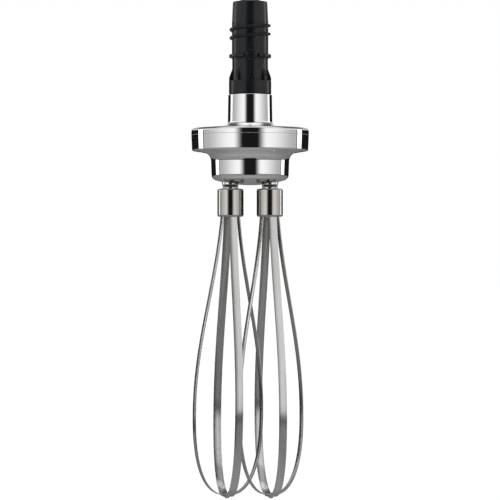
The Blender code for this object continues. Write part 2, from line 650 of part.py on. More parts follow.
def make_lower_housing(material, parent):
    top = SEAM - SEAT_GAP
    rebate_floor = top - GASKET_THICKNESS - SEAT_GAP
    rebate = RIM_RADIUS - GASKET_INSET
    lip_seat = LIP_RADIUS + SEAT_GAP
    ledge = LIP_LOW - SEAT_GAP
    corner_centre = (RIM_LOW_RADIUS - RIM_CORNER, RIM_LOW + RIM_CORNER)
    outline = [(0.0, DOME_LOW)]
    dome = arc((0.0, DOME_LOW + DOME_RADIUS), DOME_RADIUS, -math.pi / 2, DOME_ANGLE - math.pi / 2, 3)
    outline += dome[1:]
    cup_corner = arc((CUP_LOW_RADIUS - CUP_CORNER, CUP_CORNER_TOP), CUP_CORNER,
                     DOME_ANGLE - math.pi / 2, 0.0, 3)
    outline += cup_corner[1:]
    outline += arc((FILLET_CENTRE, FILLET_LOW), UNDERSIDE_FILLET, math.pi, math.pi / 2, 4)
    outline += arc(corner_centre, RIM_CORNER, -math.pi / 2, 0.0, 2)
    outline += [
        (RIM_RADIUS, top), (rebate, top), (rebate, rebate_floor), (lip_seat, rebate_floor),
        (lip_seat, ledge), (POCKET_RADIUS, ledge), (POCKET_RADIUS, BOSS_TOP),
        (CUP_BORE, BOSS_TOP), (CUP_BORE, CUP_FLOOR), (0.0, CUP_FLOOR),
    ]
    housing = add_piece("lower_housing", revolve(outline, HOUSING_SIDES), material, parent)
    spindle_places = [(-SPINDLE_OFFSET, 0.0), (SPINDLE_OFFSET, 0.0)]
    column_place = (CLUSTER_X, CLUSTER_Y)
    pin_socket = CLUSTER_PIN_RADIUS + SEAT_GAP
    pin_floor = BUSH_TOP - CLUSTER_PIN_REACH - SEAT_GAP
    column = cylinder(pin_socket + COLUMN_WALL, CUP_FLOOR - BOSS_ROOT, BUSH_TOP, INNER_SIDES, column_place)
    join(housing, together([column] + [spindle_boss(place) for place in spindle_places]))
    holes = [cylinder(pin_socket, pin_floor, BUSH_TOP + CUT_THROUGH, SCREW_SIDES, column_place)]
    holes += [spindle_passage(place) for place in spindle_places]
    holes += [screw_passage(screw_place(number)) for number in range(COVER_SCREW_COUNT)]
    return cut(housing, together(holes))


def spindle_boss(place):
    """Boss inside the cup for the spindle bushes, and the nozzle under the dome."""
    root = CUP_FLOOR - BOSS_ROOT
    outline = [(0.0, NOZZLE_LOW), (NOZZLE_RADIUS, NOZZLE_LOW), (NOZZLE_RADIUS, root),
               (SPINDLE_BOSS_RADIUS, root), (SPINDLE_BOSS_RADIUS, BOSS_TOP), (0.0, BOSS_TOP)]
    return revolve(outline, INNER_SIDES, place)


def spindle_passage(place):
    """Bush seat from above, clearance in the middle, bush seat from below."""
    upper_floor = BUSH_TOP - BUSH_FLANGE - BUSH_LENGTH - SEAT_GAP
    lower_ceiling = NOZZLE_LOW + BUSH_LENGTH + 2 * SEAT_GAP
    clear = SPINDLE_RADIUS + 2 * SEAT_GAP
    outline = [
        (0.0, NOZZLE_LOW - CUT_THROUGH), (BUSH_SEAT, NOZZLE_LOW - CUT_THROUGH), (BUSH_SEAT, lower_ceiling),
        (clear, lower_ceiling), (clear, upper_floor), (BUSH_SEAT, upper_floor),
        (BUSH_SEAT, BOSS_TOP + CUT_THROUGH), (0.0, BOSS_TOP + CUT_THROUGH),
    ]
    return revolve(outline, INNER_SIDES, place)


def screw_outline(gap):
    """Half section of a countersunk screw, larger all round by the gap."""
    head = screw_head_height() - gap
    shank = COVER_SCREW_RADIUS + gap
    rim = COVER_SCREW_HEAD + gap
    tip = LIP_LOW + COVER_SCREW_BITE + gap
    return [(0.0, head), (rim, head), (rim, head + COVER_SCREW_LAND + gap),
            (shank, head + COVER_SCREW_HEAD), (shank, tip), (0.0, tip)]


def screw_passage(place):
    outline = screw_outline(SEAT_GAP)
    outline[0] = (0.0, FILLET_TOP - COVER_SCREW_HEAD)
    outline[1] = (COVER_SCREW_HEAD + SEAT_GAP, FILLET_TOP - COVER_SCREW_HEAD)
    return revolve(outline, SCREW_SIDES, place)


def make_cover_screw(number, material, parent):
    place = screw_place(number)
    name = f"cover_screw_{number + 1}"
    screw = add_piece(name, revolve(screw_outline(0.0), SCREW_SIDES, place), material, parent)
    socket_low = screw_head_height() - COVER_SCREW_SUNK
    socket_depth = screw_head_height() + COVER_SCREW_HEAD / 2
    return cut(screw, cylinder(COVER_SCREW_SOCKET, socket_low, socket_depth, HEX_SIDES, place))


def make_gear_head(chrome, steel, bronze, rubber, parent):
    """The fixed pieces that hold the shafts and close the gear head."""
    make_top_cover(chrome, parent)
    make_lower_housing(chrome, parent)
    for number in range(COVER_SCREW_COUNT):
        make_cover_screw(number, steel, parent)
    gasket_top = SEAM - SEAT_GAP
    gasket_radius = RIM_RADIUS - GASKET_INSET - SEAT_GAP
    gasket_low = gasket_top - GASKET_THICKNESS
    gasket = ring(LIP_RADIUS + SEAT_GAP, gasket_radius, gasket_low, gasket_top, HOUSING_SIDES)
    add_piece("cover_gasket", gasket, rubber, parent)

    shaft_bore = SHAFT_RADIUS + RUNNING_GAP
    upper_bearing = ring(shaft_bore, BEARING_RADIUS, UPPER_BEARING_LOW, UPPER_BEARING_TOP)
    add_piece("upper_shaft_bearing", upper_bearing, bronze, parent)
    retaining_clip("bearing_clip", BEARING_SEAT + CLIP_GROOVE - SEAT_GAP,
                   BEARING_CLIP_LOW + CLIP_THICKNESS / 2, 0.0, steel, parent, inward=True)
    lower_bearing_top = LOWER_BEARING_LOW + LOWER_BEARING_LENGTH
    lower_bearing = ring(shaft_bore, BEARING_RADIUS, LOWER_BEARING_LOW, lower_bearing_top)
    add_piece("lower_shaft_bearing", lower_bearing, steel, parent)
    seal_top = SHAFT_SEAL_LOW + SHAFT_SEAL_LENGTH
    seal = ring(SHAFT_RADIUS + SEAT_GAP, BEARING_RADIUS, SHAFT_SEAL_LOW, seal_top)
    add_piece("shaft_seal", seal, rubber, parent)

    pin_low = BUSH_TOP - CLUSTER_PIN_REACH
    pin = cylinder(CLUSTER_PIN_RADIUS, pin_low, CLUSTER_PIN_TOP, INNER_SIDES, (CLUSTER_X, CLUSTER_Y))
    add_piece("cluster_pin", pin, steel, parent)


def make_drive(steel, grey, parent):
    """The drive shaft with a hexagonal upper end, and its hub, fixed by a cross pin."""
    step = COVER_UNDERSIDE
    end = UPPER_GEAR_LOW - SEAT_GAP
    shoulder = SHAFT_RADIUS - SHAFT_END_RADIUS
    outline = [(0.0, end), (SHAFT_END_RADIUS, end), (SHAFT_END_RADIUS, step),
               (SHAFT_RADIUS, step + shoulder / 2), (SHAFT_RADIUS, HEX_LOW), (0.0, HEX_LOW)]
    shaft = add_piece("drive_shaft", revolve(outline, INNER_SIDES), steel, parent)
    join(shaft, cylinder(SHAFT_RADIUS, DRIVE_HUB_LOW, HEX_LOW + HEX_LENGTH, HEX_SIDES))
    pin_height = DRIVE_HUB_LOW + DRIVE_PIN_RISE
    pin_hole = CROSS_PIN_RADIUS + SEAT_GAP
    cut(shaft, cross_rod(pin_hole, DRIVE_HUB_RADIUS, pin_height, 0.0))

    neck = DRIVE_HUB_NECK_RADIUS
    bore = SHAFT_RADIUS + SEAT_GAP
    shoulder_low = HEX_LOW - DRIVE_HUB_LAND - (DRIVE_HUB_RADIUS - neck)
    outline = [(bore, DRIVE_HUB_LOW), (DRIVE_HUB_RADIUS, DRIVE_HUB_LOW)]
    outline += arc((neck, shoulder_low), DRIVE_HUB_RADIUS - neck, 0.0, math.pi / 2, 4)
    outline += [(neck - EDGE_BREAK, HEX_LOW - SEAT_GAP), (bore, HEX_LOW - SEAT_GAP)]
    hub = add_piece("drive_hub", revolve(outline, SMALL_SIDES), grey, parent)
    cut(hub, cross_rod(pin_hole, 2 * DRIVE_HUB_RADIUS, pin_height, 0.0))
    pin = cross_rod(CROSS_PIN_RADIUS, DRIVE_HUB_RADIUS - HUB_CLEARANCE, pin_height, 0.0)
    add_piece("drive_hub_pin", pin, steel, parent)


def ferrule_outline():
    corner = FERRULE_CORNER
    outline = [(HUB_NECK_RADIUS + SEAT_GAP, FERRULE_TOP)]
    outline += arc((FERRULE_RADIUS - corner, FERRULE_TOP - corner), corner, math.pi / 2, 0.0, 3)
    outline += arc((FERRULE_RADIUS - corner, FERRULE_LOW + corner), corner, 0.0, -math.pi / 2, 3)
    outline += [(FERRULE_BORE + FERRULE_MOUTH, FERRULE_LOW), (FERRULE_BORE, FERRULE_LOW + FERRULE_MOUTH),
                (FERRULE_BORE, FERRULE_CEILING), (HUB_NECK_RADIUS + SEAT_GAP, FERRULE_CEILING)]
    return outline


def hub_outline():
    return [
        (0.0, HUB_LOW), (HUB_CORE_RADIUS, HUB_LOW), (HUB_CORE_RADIUS, STRIP_TOP + SEAT_GAP),
        (FERRULE_BORE - SEAT_GAP, STRIP_TOP + SEAT_GAP), (FERRULE_BORE - SEAT_GAP, HUB_FLANGE_TOP),
        (HUB_NECK_RADIUS, HUB_FLANGE_TOP), (HUB_NECK_RADIUS, HUB_TOP), (HUB_BORE, HUB_TOP),
        (HUB_BORE, SPINDLE_LOW - SEAT_GAP), (0.0, SPINDLE_LOW - SEAT_GAP),
    ]


def loop_path(depth):
    """Middle line of one half loop, as (radius, height) from the ferrule down to the axis."""
    path = [(STRIP_SEAT, STRIP_TOP), (STRIP_SEAT, FERRULE_LOW)]
    swell = CAGE_RADIUS - STRIP_SEAT
    for step in range(1, UPPER_STEPS + 1):
        share = step / UPPER_STEPS
        eased = 0.5 * math.sin(share * math.pi / 2) + 0.25 * (1 - math.cos(share * math.pi))
        path.append((STRIP_SEAT + swell * eased, FERRULE_LOW - CAGE_UPPER_LENGTH * share))
    power = 2 / CAGE_ROUNDNESS
    end = math.acos((CROSSING_FLAT / CAGE_RADIUS) ** (1 / power))
    for step in range(1, LOWER_STEPS + 1):
        turn = end * step / LOWER_STEPS
        drop = depth * (math.sin(turn) / math.sin(end)) ** power
        path.append((CAGE_RADIUS * math.cos(turn) ** power, CAGE_WAIST - drop))
    path.append((0.0, CAGE_WAIST - depth))
    return path


def make_loop(name, phase, depth, side, material, parent):
    """One strip that runs down from the ferrule, round under the axis and up again."""
    half = loop_path(depth)
    line = half + [(-radius, height) for radius, height in reversed(half[:-1])]
    outward, sideways = radial_frame(phase)
    bm = bmesh.new()
    rows = []
    for index, (across, height) in enumerate(line):
        before = line[max(index - 1, 0)]
        after = line[min(index + 1, len(line) - 1)]
        along = Vector((after[0] - before[0], after[1] - before[1])).normalized()
        normal = Vector((-along[1], along[0])) * (STRIP_THICKNESS / 2)
        lean = side * CAGE_LEAN * max(0.0, FERRULE_LOW - height)
        row = []
        for offset, width in ((1, -1), (1, 1), (-1, 1), (-1, -1)):
            point = outward * (across + offset * normal[0]) + sideways * (width * STRIP_WIDTH / 2)
            point += Vector((lean, 0, height + offset * normal[1]))
            row.append(bm.verts.new(point))
        rows.append(row)
    close_rows(bm, rows)
    loop = add_piece(name, bm, material, parent)
    foot = side * CAGE_LEAN * (FERRULE_LOW - CAGE_WAIST + depth)
    low = CAGE_WAIST - depth - STRIP_THICKNESS
    cut(loop, cylinder(RIVET_RADIUS + SEAT_GAP, low, low + 2 * STRIP_THICKNESS, SCREW_SIDES, (foot, 0.0)))
    return loop


def rivet_outline():
    """A round-headed rivet through both loops where they cross."""
    outer_low = CAGE_WAIST - CAGE_LOWER_LENGTH - STRIP_THICKNESS / 2
    inner_high = outer_low + 2 * STRIP_THICKNESS + SEAT_GAP
    low_seat = outer_low - SEAT_GAP
    high_seat = inner_high + SEAT_GAP
    head = []
    cap = []
    for step in range(RIVET_STEPS + 1):
        quarter = math.pi / 2 * step / RIVET_STEPS
        radius = RIVET_HEAD_RADIUS * math.sin(quarter)
        head.append((radius, low_seat - RIVET_HEAD_HEIGHT * math.cos(quarter)))
        cap.append((radius, high_seat + RIVET_CAP_HEIGHT * math.cos(quarter)))
    return [*head, (RIVET_RADIUS, low_seat), (RIVET_RADIUS, high_seat), *reversed(cap)]


def make_whisk(side_name, side, phase, gear_phase, materials, parent):
    """A spindle with its gear above and its strip cage below, all of which turn together."""
    steel, satin, bronze, rubber, fixed = materials
    spindle_outline = [
        (0.0, SPINDLE_LOW), (SPINDLE_RADIUS, SPINDLE_LOW), (SPINDLE_RADIUS, GEAR_CLIP_LOW - SEAT_GAP / 2),
        (SPINDLE_RADIUS - CLIP_GROOVE, GEAR_CLIP_LOW - SEAT_GAP / 2),
        (SPINDLE_RADIUS - CLIP_GROOVE, GEAR_CLIP_TOP + SEAT_GAP / 2),
        (SPINDLE_RADIUS, GEAR_CLIP_TOP + SEAT_GAP / 2), (SPINDLE_RADIUS, SPINDLE_TOP), (0.0, SPINDLE_TOP),
    ]
    pin_heading = phase + math.pi / 4
    pin_hole = CROSS_PIN_RADIUS + SEAT_GAP
    spindle = add_piece(f"{side_name}_spindle", revolve(spindle_outline, INNER_SIDES), steel, parent)
    cut(spindle, cross_rod(pin_hole, 2 * SPINDLE_RADIUS, CROSS_PIN_HEIGHT, pin_heading))
    gear(f"{side_name}_output_gear", WHEEL_TEETH, gear_phase, LOWER_GEAR_LOW, LOWER_GEAR_TOP,
         SPINDLE_RADIUS + SEAT_GAP, steel, parent)
    retaining_clip(f"{side_name}_gear_clip", SPINDLE_RADIUS - CLIP_GROOVE + SEAT_GAP,
                   (GEAR_CLIP_LOW + GEAR_CLIP_TOP) / 2, math.pi / 2, steel, parent)
    seal_outline = [
        (SPINDLE_RADIUS + SEAT_GAP, SEAL_TOP), (SPINDLE_RADIUS + SEAL_WALL, SEAL_TOP),
        (SPINDLE_RADIUS + SEAL_WALL - SEAL_WAIST, SEAL_TOP - SEAL_THICKNESS / 2),
        (SPINDLE_RADIUS + SEAL_WALL, SEAL_TOP - SEAL_THICKNESS),
        (SPINDLE_RADIUS + SEAT_GAP, SEAL_TOP - SEAL_THICKNESS),
    ]
    add_piece(f"{side_name}_seal", revolve(seal_outline, INNER_SIDES), rubber, parent)
    hub = add_piece(f"{side_name}_hub", revolve(hub_outline(), INNER_SIDES), satin, parent)
    cut(hub, cross_rod(pin_hole, 2 * HUB_CORE_RADIUS, CROSS_PIN_HEIGHT, pin_heading))
    pin = cross_rod(CROSS_PIN_RADIUS, HUB_CORE_RADIUS - SEAT_GAP, CROSS_PIN_HEIGHT, pin_heading)
    add_piece(f"{side_name}_cross_pin", pin, steel, parent)
    add_piece(f"{side_name}_ferrule", revolve(ferrule_outline(), SMALL_SIDES), satin, parent)
    inner_depth = CAGE_LOWER_LENGTH - STRIP_THICKNESS - SEAT_GAP
    make_loop(f"{side_name}_inner_loop", phase, inner_depth, side, satin, parent)
    make_loop(f"{side_name}_outer_loop", phase + math.pi / 2, CAGE_LOWER_LENGTH, side, satin, parent)
    foot = side * CAGE_LEAN * (FERRULE_LOW - CAGE_WAIST + CAGE_LOWER_LENGTH)
    rivet = revolve(rivet_outline(), SCREW_SIDES, (foot, 0.0))
    add_piece(f"{side_name}_rivet", rivet, satin, parent)

    bush_bore = SPINDLE_RADIUS + RUNNING_GAP
    flange_low = BUSH_TOP - BUSH_FLANGE
    outline = [
        (bush_bore, flange_low - BUSH_LENGTH), (BUSH_RADIUS, flange_low - BUSH_LENGTH),
        (BUSH_RADIUS, flange_low), (BUSH_RADIUS + BUSH_FLANGE_WIDTH, flange_low),
        (BUSH_RADIUS + BUSH_FLANGE_WIDTH, BUSH_TOP), (bush_bore, BUSH_TOP),
    ]
    place = (side * SPINDLE_OFFSET, 0.0)
    add_piece(f"{side_name}_upper_bush", revolve(outline, INNER_SIDES, place), bronze, fixed)
    bush_low = NOZZLE_LOW + SEAT_GAP
    outline = [(bush_bore, bush_low), (BUSH_RADIUS, bush_low),
               (BUSH_RADIUS, bush_low + BUSH_LENGTH), (bush_bore, bush_low + BUSH_LENGTH)]
    add_piece(f"{side_name}_lower_bush", revolve(outline, INNER_SIDES, place), bronze, fixed)


def make_cluster(phase, pinion_phase, steel, parent):
    """The stepped gear: a wheel above and a pinion below, in one piece."""
    bore = CLUSTER_PIN_RADIUS + RUNNING_GAP
    outline = [(x, y, UPPER_GEAR_LOW) for x, y in tooth_outline(WHEEL_TEETH, phase)]
    cluster = add_piece("cluster_gear", extrude_outline(outline, (0, 0, UPPER_GEAR_WIDTH)), steel, parent)
    overlap = UPPER_GEAR_WIDTH / 4
    outline = [(x, y, LOWER_GEAR_LOW) for x, y in tooth_outline(PINION_TEETH, pinion_phase)]
    join(cluster, extrude_outline(outline, (0, 0, UPPER_GEAR_LOW - LOWER_GEAR_LOW + overlap)))
    return cut(cluster, cylinder(bore, LOWER_GEAR_LOW - CUT_THROUGH, UPPER_GEAR_TOP + CUT_THROUGH))


def main():
    clear_scene()
    plastic = finish("black_plastic", (0.022, 0.023, 0.026), 0.42, 0.0)
    grey = finish("grey_steel", (0.32, 0.32, 0.33), 0.4, 1.0)
    chrome = finish("polished_chrome", (0.82, 0.82, 0.83), 0.06, 1.0)
    satin = finish("satin_stainless", (0.62, 0.60, 0.57), 0.28, 1.0)
    steel = finish("machined_steel", (0.45, 0.45, 0.46), 0.35, 1.0)
    bronze = finish("bearing_bronze", (0.50, 0.33, 0.16), 0.4, 1.0)
    rubber = finish("black_rubber", (0.015, 0.015, 0.015), 0.7, 0.0)

    left = (-SPINDLE_OFFSET, 0.0)
    right = (SPINDLE_OFFSET, 0.0)
    middle = (0.0, 0.0)
    cluster = (CLUSTER_X, CLUSTER_Y)
    left_phase = 0.0
    right_phase = meshing_phase(WHEEL_TEETH, right, WHEEL_TEETH, left, left_phase)
    cluster_pinion_phase = meshing_phase(PINION_TEETH, cluster, WHEEL_TEETH, left, left_phase)
    cluster_phase = 0.0
    input_phase = meshing_phase(PINION_TEETH, middle, WHEEL_TEETH, cluster, cluster_phase)

    housing_frame = carrier("housing_frame", (0, 0, 0))
    drive_frame = carrier("drive_frame", (0, 0, 0))
    cluster_frame = carrier("cluster_frame", (*cluster, 0))
    left_frame = carrier("left_whisk_frame", (*left, 0))
    right_frame = carrier("right_whisk_frame", (*right, 0))

    make_coupler(plastic, housing_frame)
    make_gear_head(chrome, steel, bronze, rubber, housing_frame)
    make_drive(steel, grey, drive_frame)
    gear("input_pinion", PINION_TEETH, input_phase, UPPER_GEAR_LOW, UPPER_GEAR_TOP,
         SHAFT_END_RADIUS + SEAT_GAP, steel, drive_frame)
    make_cluster(cluster_phase, cluster_pinion_phase, steel, cluster_frame)
    materials = (steel, satin, bronze, rubber, housing_frame)
    make_whisk("left", -1, LEFT_PHASE, left_phase, materials, left_frame)
    make_whisk("right", 1, RIGHT_PHASE, right_phase, materials, right_frame)


main()
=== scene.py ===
# %% [markdown]
# This lesson dresses a twin whisk attachment for a stick blender. A black moulded coupler goes up
# into the motor body, a polished gear head carries the gears, and two whisks of flat stainless
# strip hang below it and turn in opposite directions. The CAD frame already holds every piece at
# its real size. Most outer pieces are made again here with finer curves, because a mirror finish
# shows each facet, and every piece then gets its finish.

# %% Tools and the fixed frame
import json
import math
import bpy
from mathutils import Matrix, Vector


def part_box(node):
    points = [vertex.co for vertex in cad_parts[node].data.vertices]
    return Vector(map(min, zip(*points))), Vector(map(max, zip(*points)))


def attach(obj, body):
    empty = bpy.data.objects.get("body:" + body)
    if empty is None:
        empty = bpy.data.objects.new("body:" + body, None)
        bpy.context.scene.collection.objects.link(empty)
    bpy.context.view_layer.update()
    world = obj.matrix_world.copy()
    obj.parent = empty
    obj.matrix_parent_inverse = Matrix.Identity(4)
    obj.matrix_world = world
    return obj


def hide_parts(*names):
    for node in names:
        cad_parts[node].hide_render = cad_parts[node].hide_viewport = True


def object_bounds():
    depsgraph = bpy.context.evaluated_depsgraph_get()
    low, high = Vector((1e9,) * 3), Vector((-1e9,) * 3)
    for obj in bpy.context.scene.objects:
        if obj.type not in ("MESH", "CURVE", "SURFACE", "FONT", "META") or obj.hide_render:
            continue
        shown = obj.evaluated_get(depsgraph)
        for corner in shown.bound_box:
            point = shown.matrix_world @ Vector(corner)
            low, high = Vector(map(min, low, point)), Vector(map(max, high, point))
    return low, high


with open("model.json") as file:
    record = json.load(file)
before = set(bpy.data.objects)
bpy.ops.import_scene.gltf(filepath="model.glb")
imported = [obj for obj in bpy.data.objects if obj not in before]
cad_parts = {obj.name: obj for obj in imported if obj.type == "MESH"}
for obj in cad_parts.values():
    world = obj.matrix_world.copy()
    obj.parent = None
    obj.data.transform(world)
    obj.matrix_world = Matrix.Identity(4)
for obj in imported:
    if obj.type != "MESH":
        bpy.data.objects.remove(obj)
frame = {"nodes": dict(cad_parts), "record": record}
cad_low, cad_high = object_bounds()

# %% [markdown]
# The camera comes first, because every later choice is compared with the photograph. The seam round
# the rim bends by only a pixel, though it lies well above the frame's middle, so the camera stands
# far off and looks along +Y without tilting. One pixel of the 500-pixel frame covers 0.814 mm on the
# axis. The seat of the motor body, where z is zero, lies in row 94.7.

# %% Camera
PIXEL = 0.000814
FRAME_PIXELS = 500
SEAT_ROW = 94.7
AXIS_COLUMN = 250.1
CAMERA_DISTANCE = 2.0
SENSOR_MILLIMETRES = 36.0

camera_data = bpy.data.cameras.new("product_camera")
camera = bpy.data.objects.new("product_camera", camera_data)
bpy.context.scene.collection.objects.link(camera)
bpy.context.scene.camera = camera
view_middle = FRAME_PIXELS / 2
camera.location = ((view_middle - AXIS_COLUMN) * PIXEL, -CAMERA_DISTANCE, (SEAT_ROW - view_middle) * PIXEL)
camera.rotation_euler = (math.pi / 2, 0.0, 0.0)
camera_data.sensor_width = SENSOR_MILLIMETRES
camera_data.lens = camera_data.sensor_width * CAMERA_DISTANCE / (FRAME_PIXELS * PIXEL)
print("lens in mm:", round(camera_data.lens, 1))

# %% [markdown]
# The object hangs in front of a white studio sweep. The floor is one plane that runs far back. It
# glows a little, so that it stays as pale as the backdrop. It is left out of mirror reflections,
# because what the chrome shows there is set more exactly by the studio around it, in the next cells.

# %% Floor
FLOOR_DROP = 0.10
FLOOR_SIZE = 30.0
FLOOR_COLOUR = (0.9, 0.9, 0.9, 1.0)
FLOOR_GLOW = 0.6
WHITE = (1.0, 1.0, 1.0, 1.0)

bpy.ops.object.select_all(action="DESELECT")
bpy.ops.mesh.primitive_plane_add(size=FLOOR_SIZE, location=(0.0, 0.0, cad_low.z - FLOOR_DROP))
floor = bpy.context.object
floor.name = "studio_floor"
floor.visible_glossy = False
floor_paint = bpy.data.materials.new("pale_floor")
floor_paint.use_nodes = True
floor_shader = floor_paint.node_tree.nodes["Principled BSDF"]
floor_shader.inputs["Base Color"].default_value = FLOOR_COLOUR
floor_shader.inputs["Roughness"].default_value = 1.0
floor_shader.inputs["Emission Color"].default_value = WHITE
floor_shader.inputs["Emission Strength"].default_value = FLOOR_GLOW
floor.data.materials.append(floor_paint)
bpy.context.scene.view_settings.view_transform = "Standard"
print("floor height:", round(floor.location.z, 3))

# %% [markdown]
# Polished metal has hardly any look of its own: it shows the studio. In the photograph every
# upright round surface repeats the same stripes, so the stripes can be read as directions round
# the object. The world is painted with these directions, and Math nodes do the painting. The
# helpers here are a ramp between two values, a window that is open between two, a sum and a product.

# %% Studio helpers
world = bpy.data.worlds.new("studio")
bpy.context.scene.world = world
world.use_nodes = True
world_nodes = world.node_tree.nodes
world_links = world.node_tree.links
world_nodes.clear()


def compute(operation, first, second=None):
    """A Math node of the studio. Inputs are numbers or other nodes' outputs."""
    node = world_nodes.new("ShaderNodeMath")
    node.operation = operation
    for socket, value in zip(node.inputs, (first, second)):
        if isinstance(value, (int, float)):
            socket.default_value = value
        elif value is not None:
            world_links.new(value, socket)
    return node.outputs[0]


def ramp(value, start, end, low=0.0, high=1.0):
    """Goes smoothly from low to high while the value goes from start to end."""
    node = world_nodes.new("ShaderNodeMapRange")
    node.interpolation_type = "SMOOTHSTEP"
    world_links.new(value, node.inputs["Value"])
    for name, number in zip(("From Min", "From Max", "To Min", "To Max"), (start, end, low, high)):
        node.inputs[name].default_value = number
    return node.outputs["Result"]


def window(value, start, end, soft):
    """One between start and end, zero outside, with soft edges of that width."""
    rising = ramp(value, start - soft / 2, start + soft / 2)
    falling = ramp(value, end - soft / 2, end + soft / 2, 1.0, 0.0)
    return compute("MULTIPLY", rising, falling)


def total(values):
    """The sum of numbers or nodes' outputs."""
    result = values[0]
    for value in values[1:]:
        result = compute("ADD", result, value)
    return result


def product(values):
    """The product of numbers or nodes' outputs."""
    result = values[0]
    for value in values[1:]:
        result = compute("MULTIPLY", result, value)
    return result


print("studio:", world.name)

# %% [markdown]
# A direction is given by two angles in degrees. The azimuth is zero towards the camera and 180 away
# from it, the same to the left and to the right, because the studio is symmetric. The elevation is
# zero at the horizon.

# %% Directions in the studio
DEGREES = 180 / math.pi

direction = world_nodes.new("ShaderNodeTexCoord")
split = world_nodes.new("ShaderNodeSeparateXYZ")
world_links.new(direction.outputs["Generated"], split.inputs[0])
sideways = compute("ABSOLUTE", split.outputs["X"])
frontwards = compute("MULTIPLY", split.outputs["Y"], -1.0)
azimuth = compute("MULTIPLY", compute("ARCTAN2", sideways, frontwards), DEGREES)
elevation = compute("MULTIPLY", compute("ARCSINE", split.outputs["Z"]), DEGREES)
print("nodes for the directions:", len(world_nodes))

# %% [markdown]
# Straight towards the camera it is dark. Next comes a broad soft panel on each side, brightest near
# the camera, and beyond it a thin dark gap. A shade is a ramp: where it starts and ends, and how
# light it is at both ends.

# %% Side panels
DARK_FRONT, FULL_LIGHT = 14.0, 34.0
PANEL_END = 104.0
PANEL_END_BLUR = 1.5
PANEL_TOP, PANEL_FOOT = 6.8, -3.7
LEVEL_BLUR = 0.4
PANEL_SHADE = (30.0, 100.0, 1.05, 0.47)

opening = ramp(azimuth, DARK_FRONT, FULL_LIGHT)
closing = ramp(azimuth, PANEL_END - PANEL_END_BLUR, PANEL_END + PANEL_END_BLUR, 1.0, 0.0)
upright = window(elevation, PANEL_FOOT, PANEL_TOP, LEVEL_BLUR)
panel = product([opening, closing, upright, ramp(azimuth, *PANEL_SHADE)])
print("panel from", PANEL_FOOT, "to", PANEL_TOP, "degrees")

# %% [markdown]
# Behind the gap stands a narrow upright lamp, which draws the white line near the sides of the neck,
# the rim and the cup. Beyond the lamp it is dark again.

# %% Upright lamps
LAMP_START, LAMP_END = 106.5, 122.0
LAMP_BLUR = 1.5
LAMP_TOP = 12.0
LAMP_TOP_BLUR = 0.8
LAMP_LIGHT = 1.7

tall = window(elevation, PANEL_FOOT, LAMP_TOP, LAMP_TOP_BLUR)
lamp = product([window(azimuth, LAMP_START, LAMP_END, LAMP_BLUR), tall, LAMP_LIGHT])
print("lamp from", LAMP_START, "to", LAMP_END, "degrees")

# %% [markdown]
# Above the panels the studio is bright, which lights the outer faces of the whisks' strips. Higher up
# it is darker, with a weak panel on each side, a soft light overhead and a faint glow at the zenith.
# These shape the reflections in the fillets and on the disc. A window is given as three numbers:
# where it starts and ends, and how soft its edges are.

# %% Upper studio
UPPER_TOP = 23.0
UPPER_SHADE = (80.0, 140.0, 0.98, 0.50)
UPPER_FALL = (UPPER_TOP - 2.0, UPPER_TOP + 4.0, 1.0, 0.22)
HIGH_SIDES = (28.0, 70.0, 10.0)
HIGH_LEVELS = (UPPER_TOP, 50.0, 4.0)
HIGH_LIGHT = 0.4
OVERHEAD_LEVELS = (53.0, 85.0, 8.0)
OVERHEAD_SHADE = (95.0, 135.0, 1.0, 0.0)
OVERHEAD_LIGHT = 0.75
ZENITH_LEVELS = (50.0, 80.0)
ZENITH_LIGHT = 0.30

over_panels = ramp(elevation, PANEL_TOP - LEVEL_BLUR, PANEL_TOP + LEVEL_BLUR)
upper = product([over_panels, opening, ramp(azimuth, *UPPER_SHADE), ramp(elevation, *UPPER_FALL)])
high_panel = product([window(azimuth, *HIGH_SIDES), window(elevation, *HIGH_LEVELS), HIGH_LIGHT])
overhead = product([window(elevation, *OVERHEAD_LEVELS), ramp(azimuth, *OVERHEAD_SHADE), OVERHEAD_LIGHT])
zenith = compute("MULTIPLY", ramp(elevation, *ZENITH_LEVELS), ZENITH_LIGHT)
print("bright up to", UPPER_TOP, "degrees")

# %% [markdown]
# The floor is grey. Between the panels' foot and the floor's edge the studio is dark, and this thin
# gap draws the dark band across each strip at its widest place. Straight in front the floor starts
# lower, so the dark stripe in the chrome reaches down to the foot of each surface.

# %% Studio floor and sum of the light
FLOOR_EDGE = -6.0
FRONT_FLOOR_DROP = 14.0
FRONT_FLOOR_SIDES = (13.0, 24.0)
FLOOR_SHADE = (-60.0, -10.0, 0.34, 0.26)
FLOOR_BACK_SHADE = (80.0, 150.0, 1.0, 0.7)
DARK_STUDIO = 0.010

floor_depth = ramp(elevation, *FLOOR_SHADE)
floor_back = ramp(azimuth, *FLOOR_BACK_SHADE)
from_floor = compute("ADD", elevation, ramp(azimuth, *FRONT_FLOOR_SIDES, FRONT_FLOOR_DROP, 0.0))
below = ramp(from_floor, FLOOR_EDGE - LEVEL_BLUR, FLOOR_EDGE + LEVEL_BLUR, 1.0, 0.0)
floor_light = product([below, floor_depth, floor_back])
glow = total([panel, lamp, upper, high_panel, overhead, zenith, floor_light, DARK_STUDIO])
print("dark gap from", FLOOR_EDGE, "to", PANEL_FOOT, "degrees")

# %% [markdown]
# The camera itself doesn't see the painted studio. A Light Path node gives it a plain white backdrop
# instead, as in the photograph, while the studio still lights the object.

